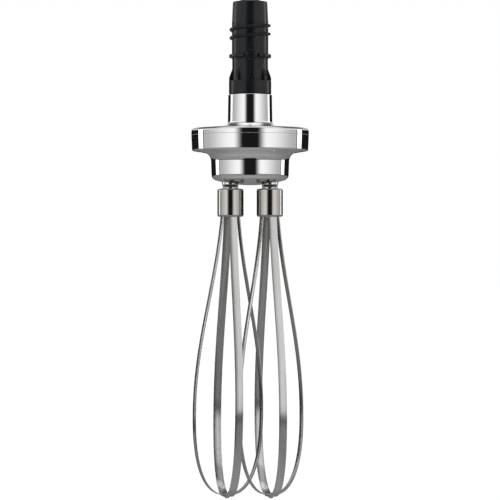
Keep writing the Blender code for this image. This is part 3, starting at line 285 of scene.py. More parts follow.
# %% Backdrop
surround = world_nodes.new("ShaderNodeBackground")
surround.inputs["Color"].default_value = WHITE
world_links.new(glow, surround.inputs["Strength"])
backdrop = world_nodes.new("ShaderNodeBackground")
backdrop.inputs["Color"].default_value = WHITE
backdrop.inputs["Strength"].default_value = 1.0
sight = world_nodes.new("ShaderNodeLightPath")
choice = world_nodes.new("ShaderNodeMixShader")
world_out = world_nodes.new("ShaderNodeOutputWorld")
world_links.new(sight.outputs["Is Camera Ray"], choice.inputs[0])
world_links.new(surround.outputs[0], choice.inputs[1])
world_links.new(backdrop.outputs[0], choice.inputs[2])
world_links.new(choice.outputs[0], world_out.inputs[0])
print("studio nodes:", len(world_nodes))

# %% [markdown]
# Each finish is a small recipe: a Principled shader with the metal's or plastic's own colour, and
# noise on Object coordinates that varies roughness, colour or height a little. Stretching the
# noise gives the direction of the work: turning marks run round a sleeve, and rolled strip has
# long fine lines. The helpers below keep each recipe down to a few lines.

# %% Finish helpers
NOISE_LOW, NOISE_HIGH = 0.3, 0.7


def plain_finish(name, colour, metallic, roughness):
    """A Principled material with its constant values on the shader itself."""
    material = bpy.data.materials.new(name)
    material.use_nodes = True
    shader = material.node_tree.nodes["Principled BSDF"]
    shader.inputs["Base Color"].default_value = (*colour, 1.0)
    shader.inputs["Metallic"].default_value = metallic
    shader.inputs["Roughness"].default_value = roughness
    return material


def grain(material, per_metre, detail):
    """Noise on the piece's own coordinates, with so many grains a metre along X, Y and Z."""
    nodes = material.node_tree.nodes
    place = nodes.new("ShaderNodeTexCoord")
    stretch = nodes.new("ShaderNodeMapping")
    stretch.inputs["Scale"].default_value = per_metre
    noise = nodes.new("ShaderNodeTexNoise")
    noise.inputs["Scale"].default_value = 1.0
    noise.inputs["Detail"].default_value = detail
    material.node_tree.links.new(place.outputs["Object"], stretch.inputs["Vector"])
    material.node_tree.links.new(stretch.outputs["Vector"], noise.inputs["Vector"])
    return noise.outputs["Fac"]


def vary(material, value, socket, low, high):
    """Lets the noise's usual span move one of the shader's sockets between two values."""
    node = material.node_tree.nodes.new("ShaderNodeMapRange")
    node.inputs["From Min"].default_value = NOISE_LOW
    node.inputs["From Max"].default_value = NOISE_HIGH
    node.inputs["To Min"].default_value = low
    node.inputs["To Max"].default_value = high
    shader = material.node_tree.nodes["Principled BSDF"]
    material.node_tree.links.new(value, node.inputs["Value"])
    material.node_tree.links.new(node.outputs["Result"], shader.inputs[socket])


def tint(material, value, first, second):
    """Blends the colour between two tones by the noise."""
    node = material.node_tree.nodes.new("ShaderNodeValToRGB")
    node.color_ramp.elements[0].position = NOISE_LOW
    node.color_ramp.elements[0].color = (*first, 1.0)
    node.color_ramp.elements[1].position = NOISE_HIGH
    node.color_ramp.elements[1].color = (*second, 1.0)
    shader = material.node_tree.nodes["Principled BSDF"]
    material.node_tree.links.new(value, node.inputs["Fac"])
    material.node_tree.links.new(node.outputs["Color"], shader.inputs["Base Color"])


def emboss(material, value, depth, strength):
    """Turns the noise into fine relief of that depth in metres."""
    node = material.node_tree.nodes.new("ShaderNodeBump")
    node.inputs["Distance"].default_value = depth
    node.inputs["Strength"].default_value = strength
    shader = material.node_tree.nodes["Principled BSDF"]
    material.node_tree.links.new(value, node.inputs["Height"])
    material.node_tree.links.new(node.outputs["Normal"], shader.inputs["Normal"])


print("noise from", NOISE_LOW, "to", NOISE_HIGH, "fills a finish's range")

# %% [markdown]
# The gear head is polished to a mirror. A real polished casting is never quite flat: its
# reflections waver a little, so a broad and very shallow relief goes under a nearly smooth shine.

# %% Polished casting
polished = plain_finish("polished_casting", (0.88, 0.88, 0.89), 1.0, 0.04)
vary(polished, grain(polished, (60.0, 60.0, 60.0), detail=4.0), "Roughness", 0.025, 0.07)
emboss(polished, grain(polished, (45.0, 45.0, 60.0), detail=1.0), depth=0.0002, strength=0.08)
print("finish:", polished.name)

# %% [markdown]
# The ferrules and hubs are turned from stainless bar. The tool leaves lines that run round the
# piece, so the noise is fine along Z and nearly constant across. They look a little warmer than
# the chrome above them.

# %% Turned stainless
turned_steel = plain_finish("turned_stainless", (0.58, 0.56, 0.53), 1.0, 0.15)
lathe_lines = grain(turned_steel, (40.0, 40.0, 5200.0), detail=2.0)
vary(turned_steel, lathe_lines, "Roughness", 0.10, 0.18)
emboss(turned_steel, lathe_lines, depth=0.00004, strength=0.12)
steel_patches = grain(turned_steel, (90.0, 90.0, 30.0), detail=2.0)
tint(turned_steel, steel_patches, (0.54, 0.52, 0.49), (0.62, 0.60, 0.57))
print("finish:", turned_steel.name)

# %% [markdown]
# The strips are cold-rolled spring steel. Rolling leaves fine lines along the strip, which blur a
# reflection across it much more than along it. The shine is therefore stretched along a level
# direction in the surface. Heat treatment leaves patches that are slightly darker.

# %% Rolled strip
NEARLY_UP = (0.0, 0.05, 1.0)
STRETCHED_SHINE = 0.92

strip_steel = plain_finish("rolled_strip", (0.60, 0.60, 0.59), 0.93, 0.17)
vary(strip_steel, grain(strip_steel, (2600.0, 2600.0, 60.0), detail=3.0), "Roughness", 0.15, 0.18)
heat_patches = grain(strip_steel, (35.0, 35.0, 14.0), detail=3.0)
tint(strip_steel, heat_patches, (0.54, 0.54, 0.53), (0.66, 0.66, 0.65))
strip_nodes = strip_steel.node_tree.nodes
strip_shader = strip_nodes["Principled BSDF"]
surface = strip_nodes.new("ShaderNodeNewGeometry")
level_line = strip_nodes.new("ShaderNodeVectorMath")
level_line.operation = "CROSS_PRODUCT"
level_line.inputs[1].default_value = NEARLY_UP
strip_steel.node_tree.links.new(surface.outputs["Normal"], level_line.inputs[0])
strip_steel.node_tree.links.new(level_line.outputs["Vector"], strip_shader.inputs["Tangent"])
strip_shader.inputs["Anisotropic"].default_value = STRETCHED_SHINE
print("finish:", strip_steel.name)

# %% [markdown]
# The coupler is moulded in glass-filled black plastic: nearly black, slightly cool, with a satin
# skin that spreads highlights and a grain too fine to see one by one.

# %% Black moulding
moulding = plain_finish("black_moulding", (0.007, 0.008, 0.010), 0.0, 0.26)
moulding.node_tree.nodes["Principled BSDF"].inputs["Specular IOR Level"].default_value = 0.34
vary(moulding, grain(moulding, (350.0, 350.0, 350.0), detail=4.0), "Roughness", 0.22, 0.30)
emboss(moulding, grain(moulding, (1200.0, 1200.0, 1200.0), detail=3.0), depth=0.00001, strength=0.2)
resin_flow = grain(moulding, (60.0, 60.0, 25.0), detail=2.0)
tint(moulding, resin_flow, (0.005, 0.006, 0.008), (0.010, 0.011, 0.013))
print("finish:", moulding.name)

# %% [markdown]
# The seals are black rubber, matt and slightly uneven where they have been handled. Only the
# roughness varies, because the rings are thin.

# %% Seal rubber
rubber = plain_finish("seal_rubber", (0.014, 0.014, 0.015), 0.0, 0.55)
vary(rubber, grain(rubber, (900.0, 900.0, 900.0), detail=3.0), "Roughness", 0.45, 0.65)
print("finish:", rubber.name)

# %% [markdown]
# Shafts, gears, pins and screws are machined and not polished. Fine marks, close together along Z,
# vary both the roughness and the relief.

# %% Machined steel
machined = plain_finish("machined_steel", (0.5, 0.5, 0.5), 1.0, 0.3)
machined_marks = grain(machined, (300.0, 300.0, 2500.0), detail=3.0)
vary(machined, machined_marks, "Roughness", 0.24, 0.4)
emboss(machined, machined_marks, depth=0.00003, strength=0.15)
print("finish:", machined.name)

# %% [markdown]
# The bushes are pressed from bronze powder and soaked with oil. Their pores are fine and the same in
# every direction, and they vary both the colour and the roughness.

# %% Bearing bronze
bronze = plain_finish("bearing_bronze", (0.52, 0.34, 0.16), 1.0, 0.4)
bronze_pores = grain(bronze, (2200.0, 2200.0, 2200.0), detail=2.0)
vary(bronze, bronze_pores, "Roughness", 0.32, 0.55)
tint(bronze, bronze_pores, (0.40, 0.25, 0.11), (0.58, 0.39, 0.20))
print("finish:", bronze.name)

# %% [markdown]
# The drive hub on top is turned from steel and left grey, with turning lines that run round it.

# %% Grey turned steel
grey_steel = plain_finish("grey_turned_steel", (0.30, 0.31, 0.32), 1.0, 0.34)
hub_lines = grain(grey_steel, (60.0, 60.0, 3600.0), detail=2.0)
vary(grey_steel, hub_lines, "Roughness", 0.28, 0.42)
emboss(grey_steel, hub_lines, depth=0.00004, strength=0.15)
print("finishes:", len(bpy.data.materials))

# %% [markdown]
# Nearly every piece here is round, so it is made as on a lathe, from an outline of half its section.
# A corner may carry a radius. It is then rounded with an arc that touches both sides, as an
# edge-breaking tool would.

# %% Rounded outlines
ARC_STEPS = 6


def rounded(outline):
    """Replace each (radius, height, rounding) corner by an arc. Plain points stay sharp."""
    points = []
    for index, corner in enumerate(outline):
        here = Vector(corner[:2])
        rounding = corner[2] if len(corner) > 2 else 0.0
        if rounding == 0.0:
            points.append(here)
            continue
        back = (Vector(outline[index - 1][:2]) - here).normalized()
        ahead = (Vector(outline[(index + 1) % len(outline)][:2]) - here).normalized()
        half = back.angle(ahead) / 2
        centre = here + (back + ahead).normalized() * (rounding / math.sin(half))
        start = here + back * (rounding / math.tan(half)) - centre
        end = here + ahead * (rounding / math.tan(half)) - centre
        turn = start.angle_signed(end)
        for step in range(ARC_STEPS + 1):
            share = step / ARC_STEPS
            spoke = start.normalized() * math.cos(turn * share)
            spoke += Vector((start.y, -start.x)).normalized() * math.sin(turn * share)
            points.append(centre + spoke * rounding)
    return points


print("steps in a rounded corner:", ARC_STEPS)

# %% [markdown]
# A line is drawn from a plane that is merged to one point and extruded from place to place. Smooth
# shading blends the faces at each edge, which would tilt the mirror image on a long straight
# stretch. A support point close to each of its ends keeps that blend short.

# %% Drawn lines
START_SIZE = 0.01
LONG_STRETCH = 0.0025
SUPPORT_INSET = 0.00015


def start_chain(name, point):
    """A new mesh that is one selected point, left in edit mode."""
    bpy.ops.object.select_all(action="DESELECT")
    bpy.ops.mesh.primitive_plane_add(size=START_SIZE, location=(0.0, 0.0, 0.0))
    piece = bpy.context.object
    piece.name = name
    bpy.ops.object.mode_set(mode="EDIT")
    bpy.ops.mesh.merge(type="CENTER")
    bpy.ops.transform.translate(value=point)
    return piece


def draw_chain(name, points):
    """Extrude a point from place to place, and leave the chain selected in edit mode."""
    piece = start_chain(name, points[0])
    for here, there in zip(points, points[1:]):
        bpy.ops.mesh.extrude_vertices_move(TRANSFORM_OT_translate={"value": there - here})
    bpy.ops.mesh.select_all(action="SELECT")
    return piece


def supported(points, closed):
    """Add a point near both ends of each long stretch, so that its shading stays straight."""
    ends = points[1:] + points[:1] if closed else points[1:]
    result = []
    for here, there in zip(points, ends):
        result.append(here)
        if (there - here).length > LONG_STRETCH:
            inset = (there - here).normalized() * SUPPORT_INSET
            result += [here + inset, there - inset]
    return result if closed else result + [points[-1]]


print("stretches with support points are longer than", LONG_STRETCH, "m")

# %% [markdown]
# Spinning the drawn line all round the axis makes the skin of the piece. A skin is finished in the
# same way each time: points that meet are merged, the faces are turned outwards, and the shading is
# smooth except at sharp edges.

# %% Turned pieces
PIECE_SIDES = 72
MERGE_DISTANCE = 1e-6
SMOOTH_ANGLE = math.radians(35.0)


def finish_mesh():
    """Merge what meets, turn the faces outwards and smooth all but sharp edges."""
    bpy.ops.mesh.select_all(action="SELECT")
    bpy.ops.mesh.remove_doubles(threshold=MERGE_DISTANCE)
    bpy.ops.mesh.normals_make_consistent(inside=False)
    bpy.ops.object.mode_set(mode="OBJECT")
    bpy.ops.object.shade_smooth_by_angle(angle=SMOOTH_ANGLE)


def turned(name, outline, axis=(0.0, 0.0), sides=PIECE_SIDES):
    """A closed half section, spun all round an upright axis."""
    section = rounded(outline)
    closed = section[0].x > 0.0 or section[-1].x > 0.0
    section = supported(section, closed)
    chain = [Vector((axis[0] + point.x, axis[1], point.y)) for point in section]
    piece = draw_chain(name, chain + [chain[0]] if closed else chain)
    bpy.ops.mesh.spin(steps=sides, angle=2 * math.pi, center=(*axis, 0.0), axis=(0.0, 0.0, 1.0))
    finish_mesh()
    return piece


print("sides of a turned piece:", PIECE_SIDES)

# %% [markdown]
# A finished piece gets its material, rides on the body that it moves with, and stands for the CAD
# nodes that it replaces. The slot is the name of its material in the part's record.

# %% Dressing a piece
def dress(piece, finish, body, slot, *nodes):
    """Give a piece its finish, let it ride on its body and stand for its CAD nodes."""
    piece.data.materials.clear()
    piece.data.materials.append(finish)
    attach(piece, body)
    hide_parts(*nodes)
    print(piece.name, "faces:", len(piece.data.polygons))
    return piece

# %% [markdown]
# Some features are placed by turning a finished mesh about the axis. The object itself stays at the
# origin without rotation, so noise on Object coordinates keeps its scale and its place. Modifiers
# are applied as soon as they are added, and one of them breaks sharp edges.

# %% Placing and modifier helpers
BREAK_ANGLE = math.radians(40.0)


def select_only(piece):
    """Make a piece the one that the next operators work on."""
    bpy.ops.object.select_all(action="DESELECT")
    piece.select_set(True)
    bpy.context.view_layer.objects.active = piece


def turn_to(piece, heading):
    """Turn a piece's mesh about the Z axis to a heading in degrees."""
    select_only(piece)
    piece.rotation_euler = (0.0, 0.0, math.radians(heading))
    bpy.ops.object.transform_apply(location=False, rotation=True, scale=False)
    return piece


def apply_modifier(piece, kind, **settings):
    """Add a modifier with these settings and apply it at once."""
    select_only(piece)
    modifier = piece.modifiers.new(kind.lower(), kind)
    for setting, value in settings.items():
        setattr(modifier, setting, value)
    bpy.ops.object.modifier_apply(modifier=modifier.name)


def break_edges(piece, width, segments=2):
    """Round the piece's sharp edges a little, as a mould does."""
    apply_modifier(piece, "BEVEL", width=width, segments=segments, limit_method="ANGLE",
                   angle_limit=BREAK_ANGLE)
    bpy.ops.object.shade_smooth_by_angle(angle=BREAK_ANGLE)


print("edges count as sharp from", round(math.degrees(BREAK_ANGLE)), "degrees")

# %% [markdown]
# The neck and the disc are one casting. The neck widens slightly towards its foot, a fillet leads
# it into the disc, and the disc slopes down to a rounded corner. Under the rim a lip goes down
# into the housing. The seam between the two castings shows as a fine line round the rim, so the
# edges on both sides of it are barely broken.

# %% Top cover
HOUSING_SIDES = 144
NECK_RADIUS = 0.01775
NECK_FOOT_RADIUS = 0.01815
NECK_BORE = 0.01445
NECK_BORE_EDGE = 0.0004
NECK_EDGE = 0.0006
NECK_FILLET = 0.0036
NECK_HEIGHT = 0.0256
DISC_CORNER = 0.0024
DISC_DROP = 0.0021
DISC_THICKNESS = 0.004
SEAM_DROP = 0.0053
SEAM_EDGE = 0.00018
GASKET_INSET = 0.0012
RIM_WALL = 0.0043
LIP_WALL = 0.0038
LIP_GAP = 0.0003
BEARING_SEAT = 0.0084
SEAT_DEPTH = 0.01145
WEB_THICKNESS = 0.0035
SHAFT_WAY = 0.0048

rim_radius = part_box("top_cover")[1].x
lip_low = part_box("top_cover")[0].z
disc_top = -NECK_HEIGHT
disc_edge = disc_top - DISC_DROP
seam = disc_edge - SEAM_DROP
gasket_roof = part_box("lower_housing")[1].z
underside = disc_top - DISC_THICKNESS
lip_radius = rim_radius - RIM_WALL - LIP_GAP
lip_bore = lip_radius - LIP_WALL

cover = turned("cover_casting", [
    (NECK_BORE, 0.0, NECK_BORE_EDGE),
    (NECK_RADIUS, 0.0, NECK_EDGE),
    (NECK_FOOT_RADIUS, disc_top, NECK_FILLET),
    (rim_radius, disc_edge, DISC_CORNER),
    (rim_radius, seam, SEAM_EDGE),
    (rim_radius - GASKET_INSET, seam),
    (rim_radius - GASKET_INSET, gasket_roof),
    (lip_radius, gasket_roof),
    (lip_radius, lip_low),
    (lip_bore, lip_low),
    (lip_bore, underside),
    (BEARING_SEAT, underside),
    (BEARING_SEAT, underside + SEAT_DEPTH),
    (SHAFT_WAY, underside + SEAT_DEPTH),
    (SHAFT_WAY, underside + SEAT_DEPTH + WEB_THICKNESS),
    (NECK_BORE, underside + SEAT_DEPTH + WEB_THICKNESS),
], sides=HOUSING_SIDES)
dress(cover, polished, "housing", "polished_chrome", "top_cover")

# %% [markdown]
# The lower housing is the other casting. Seen from outside it runs from the domed bottom over a
# rounded corner up the cup, out through a wide fillet and up the rim. Long arcs get enough points
# to look round in a mirror. Inside, the ledge and the bore leave the walls about as thick as the
# real ones.

# %% Lower housing
RIM_CORNER = 0.0011
RIM_DRAFT = 0.0005
RIM_FOOT_RISE = 0.0013
CUP_RADIUS = 0.0318
CUP_LOW_RADIUS = 0.0314
CUP_WALL = 0.0029
CUP_SIDE = 0.0113
CUP_CORNER = 0.0045
CUP_FILLET = 0.0069
DOME_ANGLE = 16.0
BOSS_RISE = 0.0038
POCKET_RADIUS = 0.0334
GASKET_SEAT = 0.0011
DOME_STEPS, CORNER_STEPS, FILLET_STEPS, FOOT_STEPS = 20, 10, 12, 5


def arc(centre, radius, start, end, steps):
    """Points of an arc in the section plane. The angles are in degrees."""
    turns = [math.radians(start + (end - start) * step / steps) for step in range(steps + 1)]
    return [(centre[0] + radius * math.cos(turn), centre[1] + radius * math.sin(turn)) for turn in turns]


housing_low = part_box("lower_housing")[0].z
slope = math.radians(DOME_ANGLE)
dome_radius = (CUP_LOW_RADIUS - CUP_CORNER * (1 - math.sin(slope))) / math.sin(slope)
dome_edge = housing_low + dome_radius * (1 - math.cos(slope))
corner_height = dome_edge + CUP_CORNER * math.cos(slope)
fillet_height = corner_height + CUP_SIDE
fillet_reach = CUP_RADIUS + CUP_FILLET
fillet_top = fillet_height + CUP_FILLET
boss_top = fillet_top + BOSS_RISE
foot_centre = (rim_radius - RIM_DRAFT - RIM_CORNER, fillet_top + RIM_FOOT_RISE + RIM_CORNER)
lip_seat = lip_radius + LIP_GAP

housing = turned("housing_casting", [
    *arc((0.0, housing_low + dome_radius), dome_radius, -90.0, DOME_ANGLE - 90.0, DOME_STEPS),
    *arc((CUP_LOW_RADIUS - CUP_CORNER, corner_height), CUP_CORNER, DOME_ANGLE - 90.0, 0.0, CORNER_STEPS),
    *arc((fillet_reach, fillet_height), CUP_FILLET, 180.0, 90.0, FILLET_STEPS),
    *arc(foot_centre, RIM_CORNER, -90.0, 0.0, FOOT_STEPS),
    (rim_radius, seam, SEAM_EDGE),
    (rim_radius - GASKET_INSET, seam),
    (rim_radius - GASKET_INSET, gasket_roof - GASKET_SEAT),
    (lip_seat, gasket_roof - GASKET_SEAT),
    (lip_seat, lip_low - LIP_GAP),
    (POCKET_RADIUS, lip_low - LIP_GAP),
    (POCKET_RADIUS, boss_top),
    (CUP_LOW_RADIUS - CUP_WALL, boss_top),
    (CUP_LOW_RADIUS - CUP_WALL, dome_edge + CUP_WALL),
    (0.0, dome_edge + CUP_WALL),
], sides=HOUSING_SIDES)
print("housing faces:", len(housing.data.polygons))

# %% [markdown]
# Three countersunk screws hold the castings together from below. Their recesses are cut first: a
# cutter is turned on the first CAD screw's axis, taken out of the casting, and turned on about the
# main axis for the next cut.

# %% Screw recesses
SMALL_SIDES = 32
SCREW_COUNT = 3
SCREW_HEAD = 0.0024
SCREW_SHANK = 0.00125
SCREW_LAND = 0.0005
SCREW_CLEARANCE = 0.0002
RECESS_REACH = 0.004

screw_low, screw_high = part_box("cover_screw_1")
screw_axis = ((screw_low.x + screw_high.x) / 2, (screw_low.y + screw_high.y) / 2)
cutter = turned("recess_cutter", [
    (0.0, screw_low.z - RECESS_REACH),
    (SCREW_HEAD + SCREW_CLEARANCE, screw_low.z - RECESS_REACH),
    (SCREW_HEAD + SCREW_CLEARANCE, screw_low.z + SCREW_LAND),
    (SCREW_SHANK + SCREW_CLEARANCE, screw_low.z + SCREW_HEAD),
    (0.0, screw_low.z + SCREW_HEAD),
], axis=screw_axis, sides=SMALL_SIDES)
for number in range(SCREW_COUNT):
    apply_modifier(housing, "BOOLEAN", operation="DIFFERENCE", solver="EXACT", object=cutter)
    turn_to(cutter, 360.0 / SCREW_COUNT)
bpy.data.objects.remove(cutter)
select_only(housing)
bpy.ops.object.shade_smooth_by_angle(angle=SMOOTH_ANGLE)
print("recesses:", SCREW_COUNT)

# %% [markdown]
# The first screw is turned on the same axis, and a six-sided socket is cut into its head for the
# key. The other two screws are copies, turned about the main axis.

# %% Cover screws
SCREW_EDGE = 0.0002
SCREW_LAND_EDGE = 0.0001
SCREW_SOCKET = 0.001
SOCKET_SIDES = 6

screw = turned("cover_screw", [
    (0.0, screw_low.z),
    (SCREW_HEAD, screw_low.z, SCREW_EDGE),
    (SCREW_HEAD, screw_low.z + SCREW_LAND, SCREW_LAND_EDGE),
    (SCREW_SHANK, screw_low.z + SCREW_HEAD),
    (SCREW_SHANK, screw_high.z, SCREW_EDGE),
    (0.0, screw_high.z),
], axis=screw_axis, sides=SMALL_SIDES)
bpy.ops.object.select_all(action="DESELECT")
bpy.ops.mesh.primitive_cylinder_add(vertices=SOCKET_SIDES, radius=SCREW_SOCKET, depth=SCREW_HEAD,
                                    location=(*screw_axis, screw_low.z))
socket = bpy.context.object
apply_modifier(screw, "BOOLEAN", operation="DIFFERENCE", solver="EXACT", object=socket)
bpy.data.objects.remove(socket)
for number in range(SCREW_COUNT):
    if number:
        bpy.ops.object.duplicate()
        screw = turn_to(bpy.context.object, 360.0 / SCREW_COUNT)
    dress(screw, machined, "housing", "machined_steel", f"cover_screw_{number + 1}")

# %% [markdown]
# Two short nozzles stand out of the dome round the spindles. The left one is a turned ring whose
# root lies inside the dome's wall, the right one is its copy, and both are joined to the housing's
# mesh. Without a cut the dome's mirror stays undisturbed round them.

# %% Spindle nozzles
SPINDLE_OFFSET = 0.016
NOZZLE_RADIUS = 0.0069
NOZZLE_BORE = 0.0055
NOZZLE_SHORTFALL = 0.0003
NOZZLE_EDGE = 0.0004
LEFT_SPINDLE = (-SPINDLE_OFFSET, 0.0)
SPINDLE_SPACING = 2 * SPINDLE_OFFSET


def copied(piece, name, shift):
    """A copy with its own mesh, which is moved along X by the shift."""
    select_only(piece)
    bpy.ops.object.duplicate()
    copy = bpy.context.object
    copy.name = name
    copy.location.x = shift
    bpy.ops.object.transform_apply(location=True, rotation=False, scale=False)
    return copy


def join_to(target, *others):
    """Put other pieces' meshes into the target's mesh."""
    bpy.ops.object.select_all(action="DESELECT")
    for other in others:
        other.select_set(True)
    target.select_set(True)
    bpy.context.view_layer.objects.active = target
    bpy.ops.object.join()


left_nozzle = turned("left_nozzle", [
    (NOZZLE_BORE, dome_edge),
    (NOZZLE_RADIUS, dome_edge),
    (NOZZLE_RADIUS, housing_low + NOZZLE_SHORTFALL, NOZZLE_EDGE),
    (NOZZLE_BORE, housing_low + NOZZLE_SHORTFALL, NOZZLE_EDGE),
], axis=LEFT_SPINDLE)
right_nozzle = copied(left_nozzle, "right_nozzle", SPINDLE_SPACING)
join_to(housing, left_nozzle, right_nozzle)
dress(housing, polished, "housing", "polished_chrome", "lower_housing")

# %% [markdown]
# The coupler is one moulding, but it is easiest to understand as a turned sleeve with features
# added to it. The sleeve is slightly conical at the top, slims at the snap ring and ends in the
# collar that sits on the neck.

# %% Coupler sleeve
COUPLER_SIDES = 96
COUPLER_TOP_RADIUS = 0.0140
COUPLER_RADIUS = 0.01477
WAIST_RADIUS = 0.01455
COLLAR_RADIUS = 0.0172
COLLAR_HEIGHT = 0.0112
TAPER_START = 0.0585
WAIST_TOP = 0.0299
WAIST_START = 0.0285
EDGE_BREAK = 0.0006
WAIST_EDGE = 0.0005
FINE_EDGE = 0.0003
SPIGOT_RADIUS = 0.01415
SPIGOT_LENGTH = 0.012
HUB_BORE = 0.0106
HUB_FLOOR = 0.0697
BEARING_FLOOR = 0.0567
COLLAR_GAP = 0.0003

coupler_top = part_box("coupler")[1].z
coupler = turned("coupler_moulding", [
    (HUB_BORE, coupler_top, FINE_EDGE),
    (COUPLER_TOP_RADIUS, coupler_top, EDGE_BREAK),
    (COUPLER_RADIUS, TAPER_START),
    (COUPLER_RADIUS, WAIST_TOP),
    (WAIST_RADIUS, WAIST_START),
    (WAIST_RADIUS, COLLAR_HEIGHT, WAIST_EDGE),
    (COLLAR_RADIUS, COLLAR_HEIGHT, EDGE_BREAK),
    (COLLAR_RADIUS, COLLAR_GAP, FINE_EDGE),
    (SPIGOT_RADIUS, COLLAR_GAP),
    (SPIGOT_RADIUS, -SPIGOT_LENGTH),
    (SHAFT_WAY, -SPIGOT_LENGTH),
    (SHAFT_WAY, BEARING_FLOOR),
    (BEARING_SEAT, BEARING_FLOOR),
    (BEARING_SEAT, HUB_FLOOR),
    (HUB_BORE, HUB_FLOOR),
], sides=COUPLER_SIDES)
print("sleeve faces:", len(coupler.data.polygons))

# %% [markdown]
# The rib winds round the sleeve one and a half times, like a coarse thread. Its section is a filled
# outline that is extruded from station to station: each step moves it up, in or out, and then
# turns it round the axis. At both ends it dives under the surface, so the rib fades out.

# %% Helical rib
RIB_HEIGHT = 0.00205
RIB_WIDTH = 0.0026
RIB_PITCH = 0.0068
RIB_START_HEIGHT = 0.0460
RIB_HEADING = 180.0
RIB_TURNS = 1.5
RIB_RUN_OUT = 24.0
RIB_STATION = 4.0
CREST_STEPS = 8
ROOT_SINK = 0.0009
DIVE = 0.0002

rib_sweep = 360.0 * RIB_TURNS + 2 * RIB_RUN_OUT


def draw_face(name, points):
    """A filled outline, left selected in edit mode."""
    piece = draw_chain(name, [*points, points[0]])
    bpy.ops.mesh.remove_doubles(threshold=MERGE_DISTANCE)
    bpy.ops.mesh.select_all(action="SELECT")
    bpy.ops.mesh.edge_face_add()
    return piece


def sunk(angle):
    """How deep the rib's section lies under its full height, at that angle from its start."""
    fade = min(1.0, angle / RIB_RUN_OUT, (rib_sweep - angle) / RIB_RUN_OUT)
    return (RIB_HEIGHT + DIVE) * (1 - math.sin(fade * math.pi / 2))


half_width = RIB_WIDTH / 2
crest = (COUPLER_RADIUS + RIB_HEIGHT - half_width, 0.0)
rib_root = COUPLER_RADIUS - ROOT_SINK
rib_section = [
    (rib_root, -half_width),
    *arc(crest, half_width, -90.0, 90.0, CREST_STEPS),
    (rib_root, half_width),
]
rib_low = RIB_START_HEIGHT - RIB_PITCH * RIB_RUN_OUT / 360.0
rib = draw_face("rib", [Vector((x - sunk(0.0), 0.0, rib_low + z)) for x, z in rib_section])
stations = round(rib_sweep / RIB_STATION)
station_turn = rib_sweep / stations
heading = 0.0
for station in range(stations):
    travelled = station * station_turn
    deeper = sunk(travelled) - sunk(travelled + station_turn)
    outward = Vector((math.cos(math.radians(heading)), math.sin(math.radians(heading)), 0.0))
    step = outward * deeper + Vector((0.0, 0.0, RIB_PITCH * station_turn / 360.0))
    bpy.ops.mesh.extrude_region_move(TRANSFORM_OT_translate={"value": step})
    bpy.ops.transform.rotate(value=-math.radians(station_turn), orient_axis="Z", center_override=(0, 0, 0))
    heading += station_turn
finish_mesh()
turn_to(rib, RIB_HEADING - RIB_RUN_OUT)
print("rib stations:", stations, "from heading:", RIB_HEADING - RIB_RUN_OUT)

# %% [markdown]
# The snap ring runs round the waist and is open at the front, where the key rib stands. Its section
# is filled before it is spun, so the ring's two ends are closed.

# %% Snap ring
KEY_HEADING = -86.0
RING_HEIGHT = 0.0313
RING_HALF = 0.0014
RING_DEPTH = 0.0025
RING_CHAMFER = 0.0006
RING_OPENING = 45.0
RING_STEPS = 80

ring_root = WAIST_RADIUS - ROOT_SINK
ring_crest = WAIST_RADIUS + RING_DEPTH
ring_section = rounded([
    (ring_root, RING_HEIGHT - RING_HALF),
    (ring_crest, RING_HEIGHT - RING_HALF, RING_CHAMFER),
    (ring_crest, RING_HEIGHT + RING_HALF, RING_CHAMFER),
    (ring_root, RING_HEIGHT + RING_HALF),
])
ring = draw_face("snap_ring", [Vector((point.x, 0.0, point.y)) for point in ring_section])
ring_angle = math.radians(360.0 - RING_OPENING)
bpy.ops.mesh.spin(steps=RING_STEPS, angle=ring_angle, center=(0.0, 0.0, 0.0), axis=(0.0, 0.0, 1.0))
finish_mesh()
turn_to(ring, KEY_HEADING - RING_OPENING / 2)
print("ring faces:", len(ring.data.polygons))

# %% [markdown]
# Six fins stiffen the collar, at steps of 45 degrees. The key's place and the one opposite stay free.
# One fin is drawn as an outline with an easy S-curve on its outer edge, extruded to its thickness
# and given soft edges. The others are copies, each turned on from the one before.

# %% Collar fins
FIN_TOP = 0.0216
FIN_RUN = 0.0085
FIN_DEPTH = 0.00265
FIN_FOOT = 0.0098
FIN_THICKNESS = 0.003
FIN_SINK = 0.0001
FIN_CURVE_STEPS = 10
FIN_STEPS = (45.0, 45.0, 45.0, 90.0, 45.0, 45.0)

fin_curve = []
for step in range(FIN_CURVE_STEPS + 1):
    share = step / FIN_CURVE_STEPS
    eased = (share + share * share * (3 - 2 * share)) / 2
    fin_curve.append((WAIST_RADIUS - FIN_SINK + FIN_DEPTH * eased, FIN_TOP - FIN_RUN * share))
fin_outline = [
    (ring_root, FIN_TOP),
    *fin_curve,
    (COLLAR_RADIUS - FIN_SINK, FIN_FOOT),
    (ring_root, FIN_FOOT),
]
fin = draw_face("fin", [Vector((x, -FIN_THICKNESS / 2, z)) for x, z in fin_outline])
bpy.ops.mesh.extrude_region_move(TRANSFORM_OT_translate={"value": (0.0, FIN_THICKNESS, 0.0)})
finish_mesh()
break_edges(fin, FINE_EDGE)
turn_to(fin, KEY_HEADING + FIN_STEPS[0])
fins = [fin]
for onward in FIN_STEPS[1:]:
    bpy.ops.object.duplicate()
    fins.append(turn_to(bpy.context.object, onward))
print("fins:", len(fins))

# %% [markdown]
# The key is a flat upright rib with a round head. It widens into the collar at its foot. Its outline
# is filled and extruded outwards from inside the sleeve.

# %% Key rib
KEY_HALF_WIDTH = 0.0020
KEY_HEIGHT = 0.0011
KEY_TOP = 0.0420
KEY_KNEE = 0.0164
KEY_BEND = 0.004
KEY_FLARE = 0.0025
KEY_STEPS = 6

